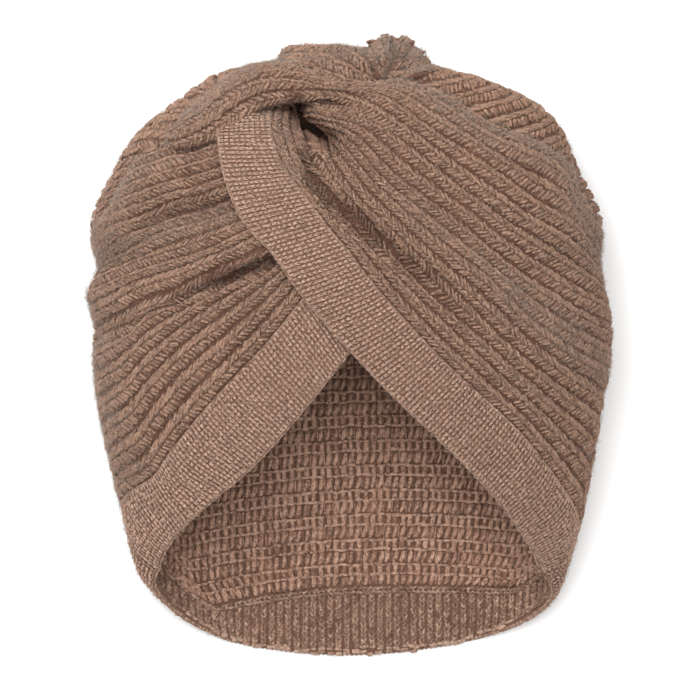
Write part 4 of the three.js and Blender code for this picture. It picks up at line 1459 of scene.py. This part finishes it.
@dataclass
class EdgeBand:
    """The fine plain band on an edge: ground, small V stitches and the rolled free edge."""

    node: str
    sheet: Sheet
    ends: Pair = (0.0, 1.0)
    low: float = -4.0
    wall: float = 2.2
    wale: float = 1.66
    drop: float = 0.95
    # Painted shade of the ground on crests, in valleys and on the inner face.
    tones: tuple[float, float, float] = (-4.6, -4.6, -5.6)
    steps: tuple[int, int] = (96, 16)
    margin: float = 0.1
    braid: Braid = Braid(pitch=1.8, rise=0.2, puff=0.3, crest=-0.4, usual=1.66, jitter=0.12, strands=1,
                         ply=0.0, stray=0.06, shade=0.6, mottle=0.6,
                         legs=(Leg(1.95, 0.33, (0.03, 0.1, 0.19, 0.24)),
                               Leg(1.95, 0.33, (-0.03, -0.1, -0.19, -0.24))))
    yarn: Yarn = Yarn(5, 2)
    seed: int = 11

    def build(self, material: bpy.types.Material) -> KnitGrid:
        """Builds the ground, its stitches and the edge.

        Args:
            material: The band wool.

        Returns:
            The grid that the band lies on.
        """
        grid = KnitGrid(self.sheet, self.ends, (self.low, 0.0), *self.steps)
        ground = KnitMesh(f"{self.node}_ground")
        Wall(grid, self.wall, 0.0, self.drop, self.tones).lay(ground)
        ground.build(material, "band_wool", [self.node])
        mesh = KnitMesh(f"{self.node}_stitches")
        rng = np.random.default_rng(self.seed)
        fine = np.linspace(*self.ends, SAMPLES)
        line, _ = grid.read(fine, np.full(SAMPLES, self.low / 2))
        length = arc_length(line)
        count = int(length[-1] / self.wale)
        places = np.interp((np.arange(count) + 0.5) * length[-1] / count, length, fine)
        width = np.gradient(places)
        first, last = self.low + self.margin, -self.margin
        for place, wide in zip(places, width):
            column = Column.straight(RunsAlong.ACROSS, (first, last), place, wide)
            self.braid.lay(mesh, grid, column, self.yarn, rng)
        for level, height, radius in ((first, -0.6, 0.4), (self.low - 0.02, -0.9, 0.42),
                                      (self.low, -1.3, 0.42), (first, -1.8, 0.42), (last, -1.0, 0.6)):
            self.chain(mesh, grid, level, height, radius, rng)
        mesh.build(material, "band_wool", [self.node])
        return grid

    def chain(self, mesh: KnitMesh, grid: KnitGrid, level: float, height: float, radius: float,
              rng: np.random.Generator) -> None:
        """Adds one chain of long stitches along the band.

        Args:
            mesh: Mesh to add to.
            grid: The band's surface.
            level: Place across the band.
            height: Height over the surface.
            radius: Half thickness.
            rng: Source of small irregularities.
        """
        fine = np.linspace(*self.ends, SAMPLES)
        line, _ = grid.read(fine, np.full(SAMPLES, level))
        length = arc_length(line)
        count = int(length[-1] / self.wale)
        place = (np.arange(count) + 0.5) * length[-1] / count
        run = np.interp(place[:, None] + np.array([-0.8, -0.3, 0.3, 0.8]) * self.wale, length, fine)
        levels = level + np.array([0.05, -0.04, -0.04, 0.05])
        point, normal = grid.read(run, np.broadcast_to(levels, run.shape))
        tall = height + np.array([-0.35, 0.2, 0.2, -0.35])
        path = point + normal * tall[None, :, None] + rng.normal(0, 0.08, point.shape)
        sizes = radius * (1 + rng.normal(0, 0.12, count))
        self.yarn.lay(mesh, path, normal[:, 1], sizes, rng.normal(-2.0, 0.9, count))


@dataclass(frozen=True)
class Fuzz:
    """Loose fibres that stand off the knit, sizes in mm."""

    length: Pair = (1.1, 3.0)
    stand: float = 0.52
    radius: Pair = (0.04, 0.07)
    crowding: Pair = (0.6, 4.5)
    bend: float = 0.25
    root: float = 0.3
    # Fibres lighter than the knit: partly their own colour and partly painted sheen.
    tone: Pair = (1.4, 2.6)
    tone_ends: Pair = (-2.3, 5.0)

    def lay(self, mesh: KnitMesh, grid: KnitGrid, density: float, rng: np.random.Generator,
            height: float = 0.0, keep: Optional[Callable[[Array], Array]] = None) -> None:
        """Scatters fibres over a grid, evenly by area.

        Args:
            mesh: Mesh to add to.
            grid: Surface that the fibres stand on.
            density: Fibres on a square millimetre.
            rng: Source of the scatter.
            height: Height of their roots over the grid, below 0 for the inner face.
            keep: Says which roots to keep from their points.
        """
        spots = grid.table[..., :3]
        along, rise = np.diff(spots, axis=0)[:, :-1], np.diff(spots, axis=1)[:-1]
        usual, on_crests = self.crowding
        crowd = usual + on_crests * softness(spots[:-1, :-1])
        area = (np.linalg.norm(np.cross(along, rise), axis=2) * crowd).ravel()
        count = int(density * area.sum())
        cell = rng.choice(area.size, count, p=area / area.sum())
        i, j = np.divmod(cell, spots.shape[1] - 1)
        u = grid.u[i] + rng.random(count) * (grid.u[1] - grid.u[0])
        v = grid.v[j] + rng.random(count) * (grid.v[1] - grid.v[0])
        root, normal = grid.read(u, v)
        if keep is not None:
            kept = keep(root)
            root, normal = root[kept], normal[kept]
        count = len(root)
        face = -1.0 if height < 0 else 1.0
        sideways = unit(np.cross(normal, rng.normal(0, 1, (count, 3))))
        length = rng.uniform(*self.length, count)[:, None]
        stand = np.abs(rng.normal(0, self.stand, (count, 1)))
        bend = rng.normal(0, self.bend, (count, 3)) * length
        start, out = root + normal * height, normal * face
        path = np.stack([start - out * self.root, start + sideways * length * 0.3 + out * stand * 0.8,
                         start + sideways * length * 0.7 + out * stand + bend * 0.5,
                         start + sideways * length + out * stand * 0.7 + bend], axis=1)
        radius = rng.uniform(*self.radius, count)
        tone = np.clip(rng.normal(*self.tone, count), *self.tone_ends)
        THIN_YARN.lay(mesh, path, normal, radius, tone)


@dataclass
class Studio:
    """White table, soft light from above and the upper left, and a camera straight above."""

    centre: Spot = (-0.371, -1.557)
    height: float = 4.0
    frame_mm: float = 245.0
    level_mm: float = 45.0
    sensor_mm: float = 36.0
    glow: float = 0.55

    def build(self) -> None:
        """Makes the floor, lights, world and camera."""
        self.floor()
        self.light("key", (-0.75, 0.7, 1.25), 1.1, 15.0)
        self.light("overhead", (0.0, 0.2, 1.9), 1.2, 39.0)
        world = bpy.data.worlds.new("studio")
        world.use_nodes = True
        background = world.node_tree.nodes["Background"]
        background.inputs["Color"].default_value = (1, 1, 1, 1)
        background.inputs["Strength"].default_value = self.glow
        scene = bpy.context.scene
        scene.world = world
        scene.view_settings.view_transform = "Standard"
        camera = bpy.data.cameras.new("camera")
        camera.lens = self.sensor_mm * (self.height - self.level_mm * MM) / (self.frame_mm * MM)
        camera.clip_end = 100
        eye = bpy.data.objects.new("camera", camera)
        eye.location = (self.centre[0] * MM, self.centre[1] * MM, self.height)
        scene.collection.objects.link(eye)
        scene.camera = eye

    def floor(self) -> None:
        """A large plain white table."""
        mesh = bpy.data.meshes.new("table")
        side = 6.0
        corners = [(-side, -side, 0), (side, -side, 0), (side, side, 0), (-side, side, 0)]
        mesh.from_pydata(corners, [], [(0, 1, 2, 3)])
        material = bpy.data.materials.new("table_white")
        material.use_nodes = True
        shader = material.node_tree.nodes["Principled BSDF"]
        shader.inputs["Base Color"].default_value = (0.9, 0.9, 0.9, 1)
        shader.inputs["Roughness"].default_value = 0.9
        mesh.materials.append(material)
        table = bpy.data.objects.new("table", mesh)
        bpy.context.collection.objects.link(table)

    @staticmethod
    def light(name: str, place: tuple[float, float, float], size: float, power: float) -> None:
        """One square soft light aimed at the bonnet."""
        lamp = bpy.data.lights.new(name, "AREA")
        lamp.size, lamp.energy = size, power
        holder = bpy.data.objects.new(name, lamp)
        holder.location = place
        aim = np.array(place)
        holder.rotation_euler = (math.atan2(math.hypot(aim[0], aim[1]), aim[2]), 0,
                                 math.atan2(aim[1], aim[0]) + math.pi / 2)
        bpy.context.collection.objects.link(holder)


def main() -> None:
    """Builds the studio and every knitted piece in order."""
    logging.basicConfig(level=logging.INFO, format="%(message)s")
    Studio().build()
    shades = KnitShades()
    groups = shades.colour_group(), shades.relief_group()
    ribbed, band, inner, shaded, loose = (finish.material(*groups)
                                          for finish in (RIBBED, BAND, INNER, SHADED, LOOSE))
    layers = Layering()
    left = FrontSheet(LEFT_RIBS, -96.0, LEFT_FOLDS, layers.left, overhang=3.2)
    over = FrontSheet(OVER_RIBS, 96.0, RIGHT_FOLDS, layers.over)
    right = FrontSheet(RIGHT_RIBS, 96.0, RIGHT_FOLDS, layers.right)
    tuft = FrontSheet(TUFT_RIBS, 0.0, TUFT_FOLDS, layers.tuft, -1.0)
    back = BackSheet(BACK_RINGS, BACK_FOLDS)
    behind = BackPiece(back)
    back_grid = behind.build(ribbed)
    dome = FrontSheet(DOME_RIBS, 0.0, (), layers.dome)
    dome_grid = RibbedPiece("crown_fold", ["back_crown"], dome, (0, 4), braid=Braid(usual=5.0, rise=1.5),
                            drop=1.2, steps=24, seed=9).build(ribbed)
    # Painted shade in the tuft's dimple.
    fine = Braid(pitch=1.45, usual=4.4, rise=0.5, crest=-0.2, pits=TUFT_FOLDS[:1],
                 legs=(replace(ROPE, length=3.0, radius=0.42), replace(STROKE, length=2.5, radius=0.42)))
    tuft_grid = RibbedPiece("crown_tuft", ["back_crown"], tuft, (0, 7), braid=fine, drop=0.9, steps=30,
                            seed=6).build(ribbed)
    patch = PatchSheet(((10, 104.5, 37), (-20, 103.6, 41), (7.5, 101.6, 59.5), (-17.5, 103, 55.5)),
                       (0, 0.8, 0), 5)
    patch_grid = RibbedPiece("crown_back", ["back_crown"], patch, (0, 5), braid=fine, drop=0.9, steps=24,
                             seed=10).build(ribbed)
    tip = PatchSheet(((20.5, 106.6, 39.5), (5, 106.6, 39.5), (20.5, 106.6, 52), (5, 106.6, 52)),
                     (0, 0.5, 0), 3)
    RibbedPiece("crown_tip", ["back_crown"], tip, (0, 3), braid=fine, drop=0.9, steps=12,
                seed=14).build(ribbed)
    nape_grid = EdgeBand("nape_band", back, (-0.008, 1.008), yarn=Yarn(4, 1)).build(band)
    inside_grid = InsideKnit(InsideSheet(back)).build(inner, band)
    # Painted shade in the left wrap's creases.
    upright = Braid(pits=(LEFT_FOLDS[0], LEFT_FOLDS[3]))
    left_grid = RibbedPiece("left_wrap", ["left_wrap"], left, (0, 18), braid=upright, seed=2).build(ribbed)
    bands = [EdgeBand("left_band", left, seed=12).build(band)]
    # Painted shade in the twist's pits and the right crease.
    leaning = Braid(flow=-1.0, pits=(*layers.pits, RIGHT_FOLDS[0]))
    right_grid = RibbedPiece("right_wrap", ["right_wrap"], right, (0, 12), 1, braid=leaning, steps=100,
                             seed=3).build(ribbed)
    bands.append(EdgeBand("right_band", right, seed=13).build(band))
    over_grid = RibbedPiece("twist_fold", ["twist_fold", "right_wrap"], over, (0, 5), braid=leaning,
                            steps=140, seed=4).build(ribbed)
    # Dark sheet under the twist's pit in the shaded finish: painted shade where the pit lies in shadow.
    core = FrontSheet(CORE_RIBS, 0.0, (), layers.core)
    RibbedPiece("twist_core", ["right_wrap", "back_crown"], core, (0, 7),
                braid=Braid(pitch=3.0, strands=1), steps=24, seed=8).build(shaded)
    fuzz, rng = Fuzz(), np.random.default_rng(21)
    for node, grids in (("left_wrap", [(left_grid, 0.68)]),
                        ("right_wrap", [(right_grid, 0.64), (over_grid, 0.58)]),
                        ("back_crown", [(back_grid, 0.14), (dome_grid, 0.8), (tuft_grid, 1.6),
                                        (patch_grid, 0.5)])):
        mesh = KnitMesh(f"{node}_fuzz")
        for grid, density in grids:
            fuzz.lay(mesh, grid, density, rng, 0.0, layers.open if grid is right_grid else behind.seen)
        mesh.build(loose, "ribbed_wool", [node])
    inside = KnitMesh("back_inside_fuzz")
    fuzz.lay(inside, inside_grid, 0.2, rng, -behind.wall - 0.9)
    inside.build(loose, "ribbed_wool", ["back_crown"])
    edges = KnitMesh("band_fuzz")
    for grid in [*bands, nape_grid]:
        fuzz.lay(edges, grid, 0.5, rng)
    edges.build(loose, "band_wool", ["left_band", "right_band", "nape_band"])


if __name__ == "__main__":
    main()
